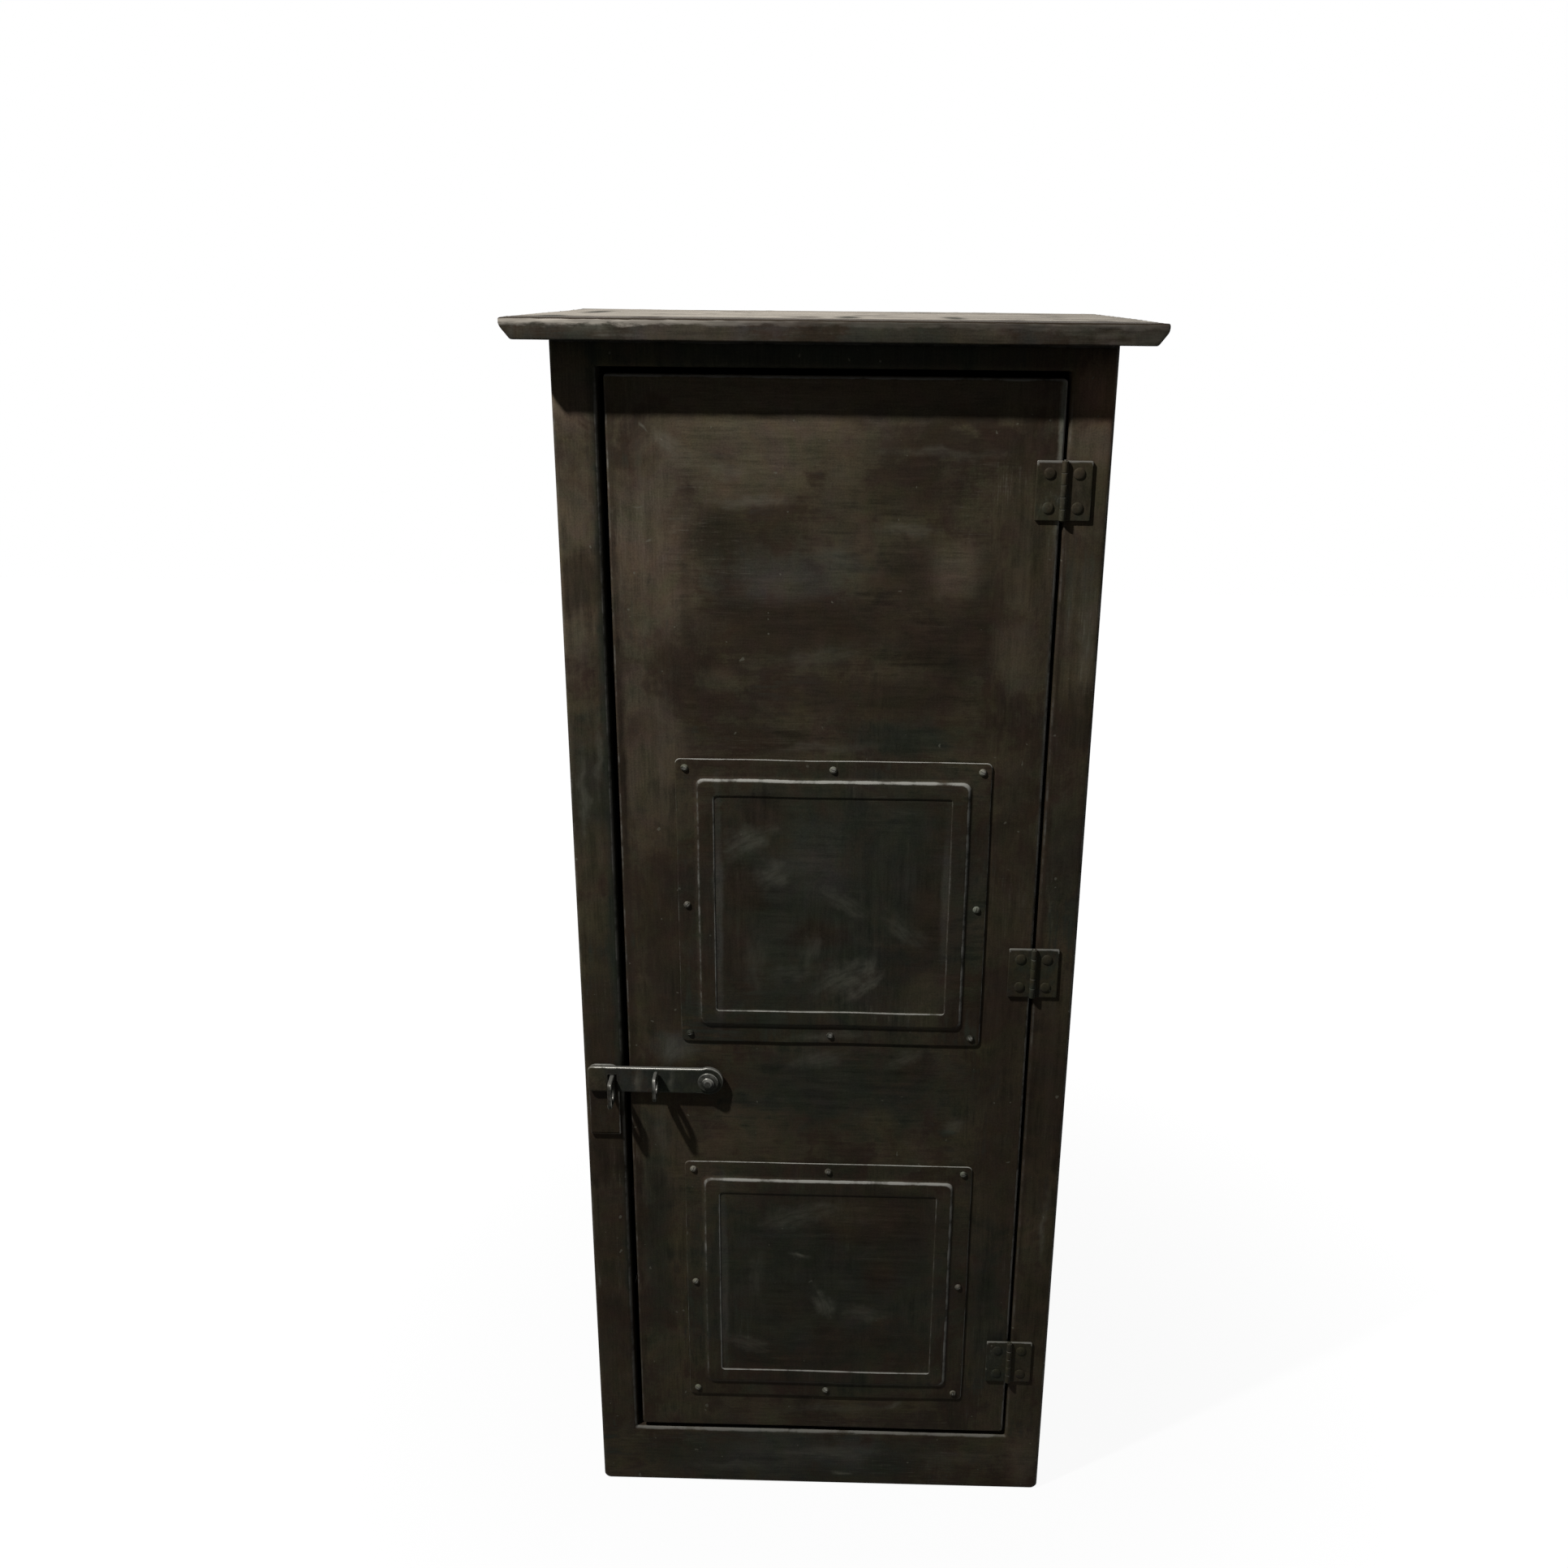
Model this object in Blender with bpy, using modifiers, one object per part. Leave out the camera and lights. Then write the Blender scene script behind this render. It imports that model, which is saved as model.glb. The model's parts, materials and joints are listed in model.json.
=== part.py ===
"""Free-standing metal cabinet: folded carcass, moulded top board, one inset door and a swinging latch bar.

Metres, +Z up. The front faces -Y, and the origin is on the floor below the middle of the top board.
"""

import math

import bmesh
import bpy
from mathutils import Matrix, Vector

# Carcass
BODY_WIDTH = 0.600
BODY_DEPTH = 0.450
BODY_HEIGHT = 1.518
SHEET = 0.002
SEAT_GAP = 0.0003
FOLD_RADIUS = 0.005
FOLD_STEPS = 3

# Front frame round the door opening
STILE_WIDTH = 0.0485
TOP_RAIL_HEIGHT = 0.0275
BOTTOM_RAIL_HEIGHT = 0.0905
FRAME_DEPTH = 0.030

# Top board
TOP_OVERHANG = 0.042
TOP_THICKNESS = 0.022
TOP_UPRIGHT_EDGE = 0.008
TOP_CHAMFER = 0.011
TOP_EASING = 0.0022

# Shelf boards, evenly spaced between the floor and the top board
SHELVES = ("lower", "middle", "upper")
SHELF_THICKNESS = 0.016
SHELF_SETBACK = 0.012
SHELF_EASING = 0.001

# Door: a pan with turned edges, closed at the back by a flat liner
DOOR_DEPTH = 0.022
DOOR_SHEET = 0.002
DOOR_EDGE_RADIUS = 0.004
LINER_SHEET = 0.0015
LATCH_SIDE_GAP = 0.0078
HINGE_SIDE_GAP = 0.0036
DOOR_TOP_GAP = 0.0075
DOOR_BOTTOM_GAP = 0.0065

# Pressed square plates on the door
PLATE_SIZE = 0.366
PLATE_SHEET = 0.002
PLATE_SHIFT = 0.0038
PLATE_MARGIN = 0.055
PLATE_SPACING = 0.173
PLATE_CORNER_RADIUS = 0.005
PLATE_CORNER_STEPS = 3
PLATE_FLANGE = 0.022
BAND_WIDTH = 0.022
BAND_RISE = 0.0032
BAND_SLOPE = 0.004
CENTRE_SINK = 0.0014
CENTRE_SLOPE = 0.0008

# Round-head slotted screws of the plates
SCREW_HEAD_RADIUS = 0.0044
SCREW_HEAD_HEIGHT = 0.0024
SCREW_SHANK_RADIUS = 0.002
SCREW_TAIL = 0.003
SCREW_INSET = 0.011
SLOT_WIDTH = 0.001
SLOT_DEPTH = 0.0012

# Butt hinges
HINGES = ("lower", "middle", "upper")
LOWER_HINGE_RISE = 0.120
UPPER_HINGE_DROP = 0.116
LEAF_WIDTH = 0.030
LEAF_HEIGHT = 0.064
LEAF_THICKNESS = 0.0025
KNUCKLES = 5
KNUCKLE_RADIUS = 0.0036
PIN_RADIUS = 0.0018
PIN_OVERRUN = 0.001

# Domed rivets of the hinges
RIVET_HEAD_RADIUS = 0.0065
RIVET_HEAD_HEIGHT = 0.003
RIVET_SHANK_RADIUS = 0.003
RIVET_TAIL = 0.001
RIVET_OFFSET = 0.0158
RIVET_PITCH = 0.0368

# Latch bar and its pivot
LATCH_DROP = 0.0535
PIVOT_INSET = 0.0992
BAR_HEIGHT = 0.034
BAR_THICKNESS = 0.005
BAR_END_EXTRA = 0.0015
BAR_TIP_RADIUS = 0.006
PIVOT_SHANK_RADIUS = 0.005
PIVOT_HEAD_RADIUS = 0.008
PIVOT_HEAD_HEIGHT = 0.004
WASHER_RADIUS = 0.013
WASHER_THICKNESS = 0.003
WASHER_ROUNDING = 0.0012
PIVOT_TAIL_RADIUS = 0.008
PIVOT_TAIL_HEIGHT = 0.003

# Finger tab on the bar
TAB_OFFSET = 0.064
TAB_REACH = 0.028
TAB_HEIGHT = 0.033
TAB_THICKNESS = 0.004
TAB_CORNER_RADIUS = 0.010
TAB_EYE_RADIUS = 0.007
TAB_EYE_REACH = 0.016

# Keeper plate and padlock lug on the left stile
KEEPER_WIDTH = 0.038
KEEPER_HEIGHT = 0.100
KEEPER_THICKNESS = 0.003
KEEPER_RISE = 0.018
KEEPER_CORNER_RADIUS = 0.010
LUG_SHIFT = 0.0118
LUG_THICKNESS = 0.005
LUG_REACH = 0.030
LUG_HEIGHT = 0.035
LUG_RISE = 0.0065
LUG_CORNER_RADIUS = 0.004
LUG_EYE_REACH = 0.0175
LUG_EYE_RADIUS = 0.006
LUG_EYE_LENGTH = 0.020
NOTCH_CLEARANCE = 0.003

ROUND_STEPS = 16
SMALL_ROUND_STEPS = 12
DOME_STEPS = 3
SMOOTH_ANGLE = math.radians(35)

# Places that follow from the sizes above
HALF_WIDTH = BODY_WIDTH / 2
FACE_Y = TOP_OVERHANG - (BODY_DEPTH + TOP_OVERHANG) / 2
BACK_Y = FACE_Y + BODY_DEPTH
FRAME_BACK_Y = FACE_Y + FRAME_DEPTH
INNER_BACK_Y = BACK_Y - SHEET - SEAT_GAP
INNER_HALF_WIDTH = HALF_WIDTH - SHEET - SEAT_GAP
OPENING_HALF = HALF_WIDTH - STILE_WIDTH
OPENING_TOP = BODY_HEIGHT - TOP_RAIL_HEIGHT

DOOR_LEFT = -OPENING_HALF + LATCH_SIDE_GAP
DOOR_RIGHT = OPENING_HALF - HINGE_SIDE_GAP
DOOR_BOTTOM = BOTTOM_RAIL_HEIGHT + DOOR_BOTTOM_GAP
DOOR_TOP = OPENING_TOP - DOOR_TOP_GAP

HINGE_X = OPENING_HALF - HINGE_SIDE_GAP / 2
HINGE_Y = FACE_Y - SEAT_GAP - KNUCKLE_RADIUS
LEAF_FRONT_Y = FACE_Y - SEAT_GAP - LEAF_THICKNESS
LOWEST_HINGE = DOOR_BOTTOM + LOWER_HINGE_RISE
HINGE_SPACING = (DOOR_TOP - UPPER_HINGE_DROP - LOWEST_HINGE) / (len(HINGES) - 1)
HINGE_HEIGHTS = {name: LOWEST_HINGE + HINGE_SPACING * i for i, name in enumerate(HINGES)}

PLATE_X = (DOOR_LEFT + DOOR_RIGHT) / 2 + PLATE_SHIFT
LOWER_PLATE_Z = DOOR_BOTTOM + PLATE_MARGIN + PLATE_SIZE / 2
UPPER_PLATE_Z = LOWER_PLATE_Z + PLATE_SIZE + PLATE_SPACING
PLATE_HEIGHTS = {"lower": LOWER_PLATE_Z, "upper": UPPER_PLATE_Z}
PLATE_FRONT_Y = FACE_Y - SEAT_GAP - PLATE_SHEET

PIVOT_X = DOOR_LEFT + PIVOT_INSET
PIVOT_Z = UPPER_PLATE_Z - PLATE_SIZE / 2 - LATCH_DROP
KEEPER_X = -HALF_WIDTH + STILE_WIDTH / 2
KEEPER_FRONT_Y = FACE_Y - SEAT_GAP - KEEPER_THICKNESS
LUG_X = KEEPER_X + LUG_SHIFT
BAR_BACK_Y = KEEPER_FRONT_Y - SEAT_GAP
BAR_FRONT_Y = BAR_BACK_Y - BAR_THICKNESS
WASHER_FRONT_Y = BAR_FRONT_Y - SEAT_GAP - WASHER_THICKNESS

# Turns that lay a flat outline drawn in X and Y onto the front, or stand it on edge pointing forward
FACING_FRONT = (math.pi / 2, 0, 0)
POINTING_FORWARD = (math.pi / 2, 0, -math.pi / 2)


def clear_scene():
    """Removes every object of the scene."""
    for obj in list(bpy.data.objects):
        bpy.data.objects.remove(obj, do_unlink=True)


def new_collection(name):
    """A collection linked to the scene."""
    collection = bpy.data.collections.new(name)
    bpy.context.scene.collection.children.link(collection)
    return collection


def new_finish(name, colour, roughness, metallic):
    """A surface finish of one colour."""
    finish = bpy.data.materials.new(name)
    finish.use_nodes = True
    shader = finish.node_tree.nodes["Principled BSDF"]
    shader.inputs["Base Color"].default_value = (*colour, 1)
    shader.inputs["Roughness"].default_value = roughness
    shader.inputs["Metallic"].default_value = metallic
    return finish


def new_axis(name, location, parent=None):
    """An empty that carries the pieces of one moving group, on that group's joint axis."""
    axis = bpy.data.objects.new(name, None)
    axis.location = location
    PARTS.objects.link(axis)
    bpy.context.view_layer.update()
    if parent:
        follow(axis, parent)
    return axis


def follow(obj, parent):
    """Parents an object and leaves it where it is."""
    obj.parent = parent
    obj.matrix_parent_inverse = parent.matrix_world.inverted()


def add_piece(name, data, finish, group, location=(0, 0, 0), rotation=(0, 0, 0)):
    """A named piece of the cabinet that moves with its group."""
    obj = bpy.data.objects.new(name, data)
    if not data.materials:
        data.materials.append(finish)
    obj.location = location
    obj.rotation_euler = rotation
    PARTS.objects.link(obj)
    follow(obj, group)
    return obj


def add_cutter(name, data):
    """A hidden shape that pieces are cut with or joined to."""
    obj = bpy.data.objects.new(name, data)
    obj.hide_render = True
    obj.display_type = "WIRE"
    CUTTERS.objects.link(obj)
    return obj


def combine(obj, other, operation):
    """Joins another solid to a piece, or cuts it away."""
    modifier = obj.modifiers.new(other.name, "BOOLEAN")
    modifier.operation = operation
    modifier.solver = "EXACT"
    modifier.object = other


def round_edges(obj, radius, steps, angle):
    """Rounds every edge that turns by more than an angle."""
    modifier = obj.modifiers.new("Rounded edges", "BEVEL")
    modifier.width = radius
    modifier.segments = steps
    modifier.limit_method = "ANGLE"
    modifier.angle_limit = angle


def thicken(obj, thickness):
    """Gives an open surface its sheet thickness, inwards from the outer face."""
    modifier = obj.modifiers.new("Sheet", "SOLIDIFY")
    modifier.thickness = thickness
    modifier.offset = -1
    modifier.use_even_offset = True


def mesh_from(name, bm):
    """Turns an edit mesh into mesh data, smooth across shallow edges."""
    mesh = bpy.data.meshes.new(name)
    bm.to_mesh(mesh)
    bm.free()
    mesh.shade_smooth()
    mesh.set_sharp_from_angle(angle=SMOOTH_ANGLE)
    return mesh


def baked_mesh(obj, helpers):
    """The mesh that an object's modifiers make, for pieces that share it. The object and its helpers go."""
    bpy.context.view_layer.update()
    graph = bpy.context.evaluated_depsgraph_get()
    mesh = bpy.data.meshes.new_from_object(obj.evaluated_get(graph))
    for used in (obj, *helpers):
        bpy.data.objects.remove(used, do_unlink=True)
    mesh.shade_smooth()
    mesh.set_sharp_from_angle(angle=SMOOTH_ANGLE)
    return mesh


def add_block(bm, low, high):
    """A rectangular block between two corners."""
    low, high = Vector(low), Vector(high)
    place = Matrix.Translation((low + high) / 2) @ Matrix.Diagonal((*(high - low), 1))
    return bmesh.ops.create_cube(bm, size=1, matrix=place)["verts"]


def add_rod(bm, start, end, radius, steps=ROUND_STEPS):
    """A cylinder from one point to another."""
    start, end = Vector(start), Vector(end)
    turn = (end - start).to_track_quat("Z", "Y").to_matrix().to_4x4()
    place = Matrix.Translation((start + end) / 2) @ turn
    length = (end - start).length
    bmesh.ops.create_cone(
        bm, cap_ends=True, segments=steps, radius1=radius, radius2=radius, depth=length, matrix=place
    )


def add_panel(name, low, high, finish, group):
    """A flat sheet or block between two corners, with its origin at its middle."""
    middle = (Vector(low) + Vector(high)) / 2
    bm = bmesh.new()
    add_block(bm, Vector(low) - middle, Vector(high) - middle)
    return add_piece(name, mesh_from(name, bm), finish, group, middle)


def add_folded_sheet(name, path, run, finish, group):
    """Sheet folded along a path, which its outer face follows, and carried along a straight run."""
    origin = Vector(path[0])
    run = Vector(run)
    bm = bmesh.new()
    near = [bm.verts.new(Vector(point) - origin) for point in path]
    far = [bm.verts.new(vert.co + run) for vert in near]
    for i in range(len(path) - 1):
        bm.faces.new((near[i], near[i + 1], far[i + 1], far[i]))
    obj = add_piece(name, mesh_from(name, bm), finish, group, origin)
    round_edges(obj, FOLD_RADIUS, FOLD_STEPS, SMOOTH_ANGLE)
    thicken(obj, SHEET)
    return obj


def arc(centre, radius, start, end, steps):
    """Points along an arc, with its angles in degrees and both ends included."""
    angles = [math.radians(start + (end - start) * i / steps) for i in range(steps + 1)]
    return [(centre[0] + radius * math.cos(a), centre[1] + radius * math.sin(a)) for a in angles]


def circle(centre, radius, steps=ROUND_STEPS):
    """Points round a full circle."""
    return arc(centre, radius, 0, 360, steps)[:-1]


def add_flat_piece(name, outlines, thickness, finish, group, location, rotation):
    """A flat plate cut to an outline, with any further outlines as holes."""
    curve = bpy.data.curves.new(name, "CURVE")
    curve.dimensions = "2D"
    curve.fill_mode = "BOTH"
    curve.extrude = thickness / 2
    for outline in outlines:
        spline = curve.splines.new("POLY")
        spline.points.add(len(outline) - 1)
        for point, (x, y) in zip(spline.points, outline):
            point.co = (x, y, 0, 1)
        spline.use_cyclic_u = True
    return add_piece(name, curve, finish, group, location, rotation)


def turned_mesh(name, profile, closed=False):
    """Edges of a turned piece's profile, as radius and height, down its outer side."""
    links = [(i, i + 1) for i in range(len(profile) - 1)]
    if closed:
        links.append((len(profile) - 1, 0))
    mesh = bpy.data.meshes.new(name)
    mesh.from_pydata([(radius, 0, height) for radius, height in profile], links, [])
    return mesh


def turn(obj, steps):
    """Turns a profile round its own Z axis."""
    modifier = obj.modifiers.new("Turned", "SCREW")
    modifier.steps = steps
    modifier.render_steps = steps
    modifier.use_merge_vertices = True
    modifier.merge_threshold = 0.00001
    modifier.use_smooth_shade = True


def dome_profile(radius, height, foot):
    """A dome's profile from its crown down to its rim, which stands at the foot."""
    quarter = arc((0, 0), 1, 90, 0, DOME_STEPS)
    return [(0, foot + height)] + [(radius * x, foot + height * y) for x, y in quarter[1:]]


def hole_cutter(name, holes, front, back):
    """Round holes through the front, each given by its X, its Z and the radius of the shank in it."""
    bm = bmesh.new()
    for x, z, shank in holes:
        add_rod(bm, (x, back, z), (x, front, z), shank + SEAT_GAP, SMALL_ROUND_STEPS)
    return add_cutter(name, mesh_from(name, bm))


def make_carcass(finishes, group):
    """Front frame, sides, back, floor, shelves and top board."""
    paint = finishes["carcass"]
    height = (0, 0, BODY_HEIGHT)
    for name, left, right in (
        ("left_stile", -HALF_WIDTH, -OPENING_HALF),
        ("right_stile", OPENING_HALF, HALF_WIDTH),
    ):
        path = ((left, FRAME_BACK_Y, 0), (left, FACE_Y, 0), (right, FACE_Y, 0), (right, FRAME_BACK_Y, 0))
        add_folded_sheet(name, path, height, paint, group)

    rail_end = OPENING_HALF - SEAT_GAP
    for name, low, high in (
        ("bottom_rail", 0, BOTTOM_RAIL_HEIGHT),
        ("top_rail", OPENING_TOP, BODY_HEIGHT),
    ):
        corners = ((FRAME_BACK_Y, high), (FACE_Y, high), (FACE_Y, low), (FRAME_BACK_Y, low))
        path = [(-rail_end, y, z) for y, z in corners]
        add_folded_sheet(name, path, (2 * rail_end, 0, 0), paint, group)

    side_front = FRAME_BACK_Y + SEAT_GAP
    for name, left in (("left_side_panel", -HALF_WIDTH), ("right_side_panel", HALF_WIDTH - SHEET)):
        add_panel(name, (left, side_front, 0), (left + SHEET, INNER_BACK_Y, BODY_HEIGHT), paint, group)
    back_low = (-HALF_WIDTH, BACK_Y - SHEET, 0)
    add_panel("back_panel", back_low, (HALF_WIDTH, BACK_Y, BODY_HEIGHT), paint, group)
    floor_low = (-INNER_HALF_WIDTH, side_front, BOTTOM_RAIL_HEIGHT - SHEET)
    floor_high = (INNER_HALF_WIDTH, INNER_BACK_Y, BOTTOM_RAIL_HEIGHT)
    add_panel("floor_panel", floor_low, floor_high, finishes["inside"], group)

    spacing = (BODY_HEIGHT - BOTTOM_RAIL_HEIGHT) / (len(SHELVES) + 1)
    shelf_front = FRAME_BACK_Y + SHELF_SETBACK
    for i, name in enumerate(SHELVES, 1):
        top = BOTTOM_RAIL_HEIGHT + spacing * i
        low = (-INNER_HALF_WIDTH, shelf_front, top - SHELF_THICKNESS)
        high = (INNER_HALF_WIDTH, INNER_BACK_Y, top)
        shelf = add_panel(f"{name}_shelf", low, high, finishes["shelf"], group)
        round_edges(shelf, SHELF_EASING, 1, SMOOTH_ANGLE)

    make_top_board(finishes["board"], group)


def make_top_board(finish, group):
    """Board with an upright front. Each end has an upright upper edge and a chamfer below it."""
    half_x = HALF_WIDTH + TOP_OVERHANG
    low = (-half_x, FACE_Y - TOP_OVERHANG, BODY_HEIGHT + SEAT_GAP)
    high = (half_x, BACK_Y, BODY_HEIGHT + SEAT_GAP + TOP_THICKNESS)
    board = add_panel("top_board", low, high, finish, group)
    bm = bmesh.new()
    bm.from_mesh(board.data)
    arris = TOP_THICKNESS / 2 - TOP_UPRIGHT_EDGE
    everything = bm.verts[:] + bm.edges[:] + bm.faces[:]
    bmesh.ops.bisect_plane(bm, geom=everything, plane_co=(0, 0, arris), plane_no=(0, 0, 1))
    for vert in bm.verts:
        if vert.co.z < arris - TOP_EASING:
            vert.co.x -= math.copysign(TOP_CHAMFER, vert.co.x)
    bm.to_mesh(board.data)
    bm.free()
    round_edges(board, TOP_EASING, 2, math.radians(20))


def leaf_mesh(name, side, kept):
    """One hinge leaf round the pin's axis: a plate to one side, with the knuckles that it keeps."""
    bm = bmesh.new()
    inner, outer = sorted((side * KNUCKLE_RADIUS / 3, side * LEAF_WIDTH))
    plate_front = KNUCKLE_RADIUS - LEAF_THICKNESS
    half = LEAF_HEIGHT / 2
    add_block(bm, (inner, plate_front, -half), (outer, KNUCKLE_RADIUS, half))
    leaf = add_cutter(name, mesh_from(name, bm))

    bm = bmesh.new()
    add_rod(bm, (0, 0, -half), (0, 0, half), KNUCKLE_RADIUS)
    barrel = add_cutter(f"{name}_barrel", mesh_from(f"{name}_barrel", bm))
    combine(leaf, barrel, "UNION")

    bm = bmesh.new()
    room = KNUCKLE_RADIUS + SEAT_GAP
    length = LEAF_HEIGHT / KNUCKLES
    for i in range(KNUCKLES):
        if i not in kept:
            low = -half + length * i - SEAT_GAP / 2
            add_block(bm, (-room, -room, low), (room, room, low + length + SEAT_GAP))
    gaps = add_cutter(f"{name}_gaps", mesh_from(f"{name}_gaps", bm))
    combine(leaf, gaps, "DIFFERENCE")

    bm = bmesh.new()
    add_rod(bm, (0, 0, -LEAF_HEIGHT), (0, 0, LEAF_HEIGHT), PIN_RADIUS + SEAT_GAP)
    bore = add_cutter(f"{name}_bore", mesh_from(f"{name}_bore", bm))
    combine(leaf, bore, "DIFFERENCE")

    rivets = [(side * RIVET_OFFSET, z, RIVET_SHANK_RADIUS) for z in (-RIVET_PITCH / 2, RIVET_PITCH / 2)]
    holes = hole_cutter(f"{name}_holes", rivets, -LEAF_WIDTH, LEAF_WIDTH)
    combine(leaf, holes, "DIFFERENCE")
    return baked_mesh(leaf, (barrel, gaps, bore, holes))


def rivet_holes(side):
    """Holes for the rivets of every hinge on one side, by hinge and rivet."""
    return {
        (hinge, end): (HINGE_X + side * RIVET_OFFSET, z + sign * RIVET_PITCH / 2, RIVET_SHANK_RADIUS)
        for hinge, z in HINGE_HEIGHTS.items()
        for end, sign in (("bottom", -1), ("top", 1))
    }


def make_hinges(finishes, frame_group, door_group):
    """Three five-knuckle hinges: a leaf on the frame, a leaf on the door, a pin and four rivets each."""
    iron = finishes["hinge"]
    end_knuckles = range(0, KNUCKLES, 2)
    middle_knuckles = range(1, KNUCKLES, 2)
    shank = LEAF_THICKNESS + SHEET + 2 * SEAT_GAP + RIVET_TAIL
    profile = dome_profile(RIVET_HEAD_RADIUS, RIVET_HEAD_HEIGHT, 0)
    profile += [(RIVET_SHANK_RADIUS, 0), (RIVET_SHANK_RADIUS, -shank), (0, -shank)]
    rivet = turned_mesh("hinge_rivet", profile)
    for word, side, kept, group in (
        ("frame", 1, middle_knuckles, frame_group),
        ("door", -1, end_knuckles, door_group),
    ):
        leaf = leaf_mesh(f"{word}_leaf", side, kept)
        for hinge, z in HINGE_HEIGHTS.items():
            add_piece(f"{hinge}_{word}_leaf", leaf, iron, group, (HINGE_X, HINGE_Y, z))
        for (hinge, end), (x, z, _) in rivet_holes(side).items():
            seat = (x, LEAF_FRONT_Y - SEAT_GAP, z)
            piece = add_piece(f"{hinge}_{word}_rivet_{end}", rivet, iron, group, seat, FACING_FRONT)
            turn(piece, SMALL_ROUND_STEPS)

    half_pin = LEAF_HEIGHT / 2 + PIN_OVERRUN
    bm = bmesh.new()
    add_rod(bm, (0, 0, -half_pin), (0, 0, half_pin), PIN_RADIUS)
    pin = mesh_from("hinge_pin", bm)
    for hinge, z in HINGE_HEIGHTS.items():
        add_piece(f"{hinge}_hinge_pin", pin, iron, frame_group, (HINGE_X, HINGE_Y, z))


def cut_holes(obj, holes):
    """Holes through a sheet that lies on the front."""
    reach = FRAME_DEPTH / 2
    combine(obj, hole_cutter(f"{obj.name}_holes", holes, FACE_Y - reach, FACE_Y + reach), "DIFFERENCE")


def screw_holes(plate_z):
    """Holes for the eight screws round a plate: its corners and the middles of its sides."""
    reach = PLATE_SIZE / 2 - SCREW_INSET
    steps = [(i, k) for k in (-1, 0, 1) for i in (-1, 0, 1) if (i, k) != (0, 0)]
    return [(PLATE_X + i * reach, plate_z + k * reach, SCREW_SHANK_RADIUS) for i, k in steps]


def rounded_square(half, radius, height):
    """Corners of a square with round corners, at a height above its plane."""
    inner = half - radius
    points = []
    for x, y, start in ((1, 1, 0), (-1, 1, 90), (-1, -1, 180), (1, -1, 270)):
        points += arc((x * inner, y * inner), radius, start, start + 90, PLATE_CORNER_STEPS)
    return [(x, y, height) for x, y in points]


def plate_mesh():
    """Front face of a pressed plate: flat flange, raised band with a sloped side, sunk centre."""
    half = PLATE_SIZE / 2
    band = half - PLATE_FLANGE
    centre = band - BAND_WIDTH
    top = PLATE_SHEET + BAND_RISE
    levels = (
        (half, PLATE_SHEET),
        (band, PLATE_SHEET),
        (band - BAND_SLOPE, top),
        (centre, top),
        (centre - CENTRE_SLOPE, top - CENTRE_SINK),
    )
    bm = bmesh.new()
    rings = []
    for reach, height in levels:
        rings.append([bm.verts.new(point) for point in rounded_square(reach, PLATE_CORNER_RADIUS, height)])
    for outer, inner in zip(rings, rings[1:]):
        for i in range(len(outer)):
            bm.faces.new((outer[i - 1], outer[i], inner[i], inner[i - 1]))
    bm.faces.new(rings[-1])
    return mesh_from("pressed_plate", bm)


def screw_mesh():
    """Round-head screw with a slot across its head, standing on its seat."""
    shank = PLATE_SHEET + DOOR_SHEET + 2 * SEAT_GAP + SCREW_TAIL
    profile = dome_profile(SCREW_HEAD_RADIUS, SCREW_HEAD_HEIGHT, 0)
    profile += [(SCREW_SHANK_RADIUS, 0), (SCREW_SHANK_RADIUS, -shank), (0, -shank)]
    screw = add_cutter("plate_screw", turned_mesh("plate_screw", profile))
    turn(screw, SMALL_ROUND_STEPS)
    bm = bmesh.new()
    reach = 2 * SCREW_HEAD_RADIUS
    low = SCREW_HEAD_HEIGHT - SLOT_DEPTH
    add_block(bm, (-reach, -SLOT_WIDTH / 2, low), (reach, SLOT_WIDTH / 2, low + reach))
    slot = add_cutter("screw_slot", mesh_from("screw_slot", bm))
    combine(screw, slot, "DIFFERENCE")
    return baked_mesh(screw, (slot,))


def rounded_rectangle(half_x, half_y, radius):
    """Outline of a rectangle with round corners, about its middle."""
    outline = []
    for x, y, start in ((1, 1, 0), (-1, 1, 90), (-1, -1, 180), (1, -1, 270)):
        outline += arc((x * (half_x - radius), y * (half_y - radius)), radius, start, start + 90, FOLD_STEPS)
    return outline


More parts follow.
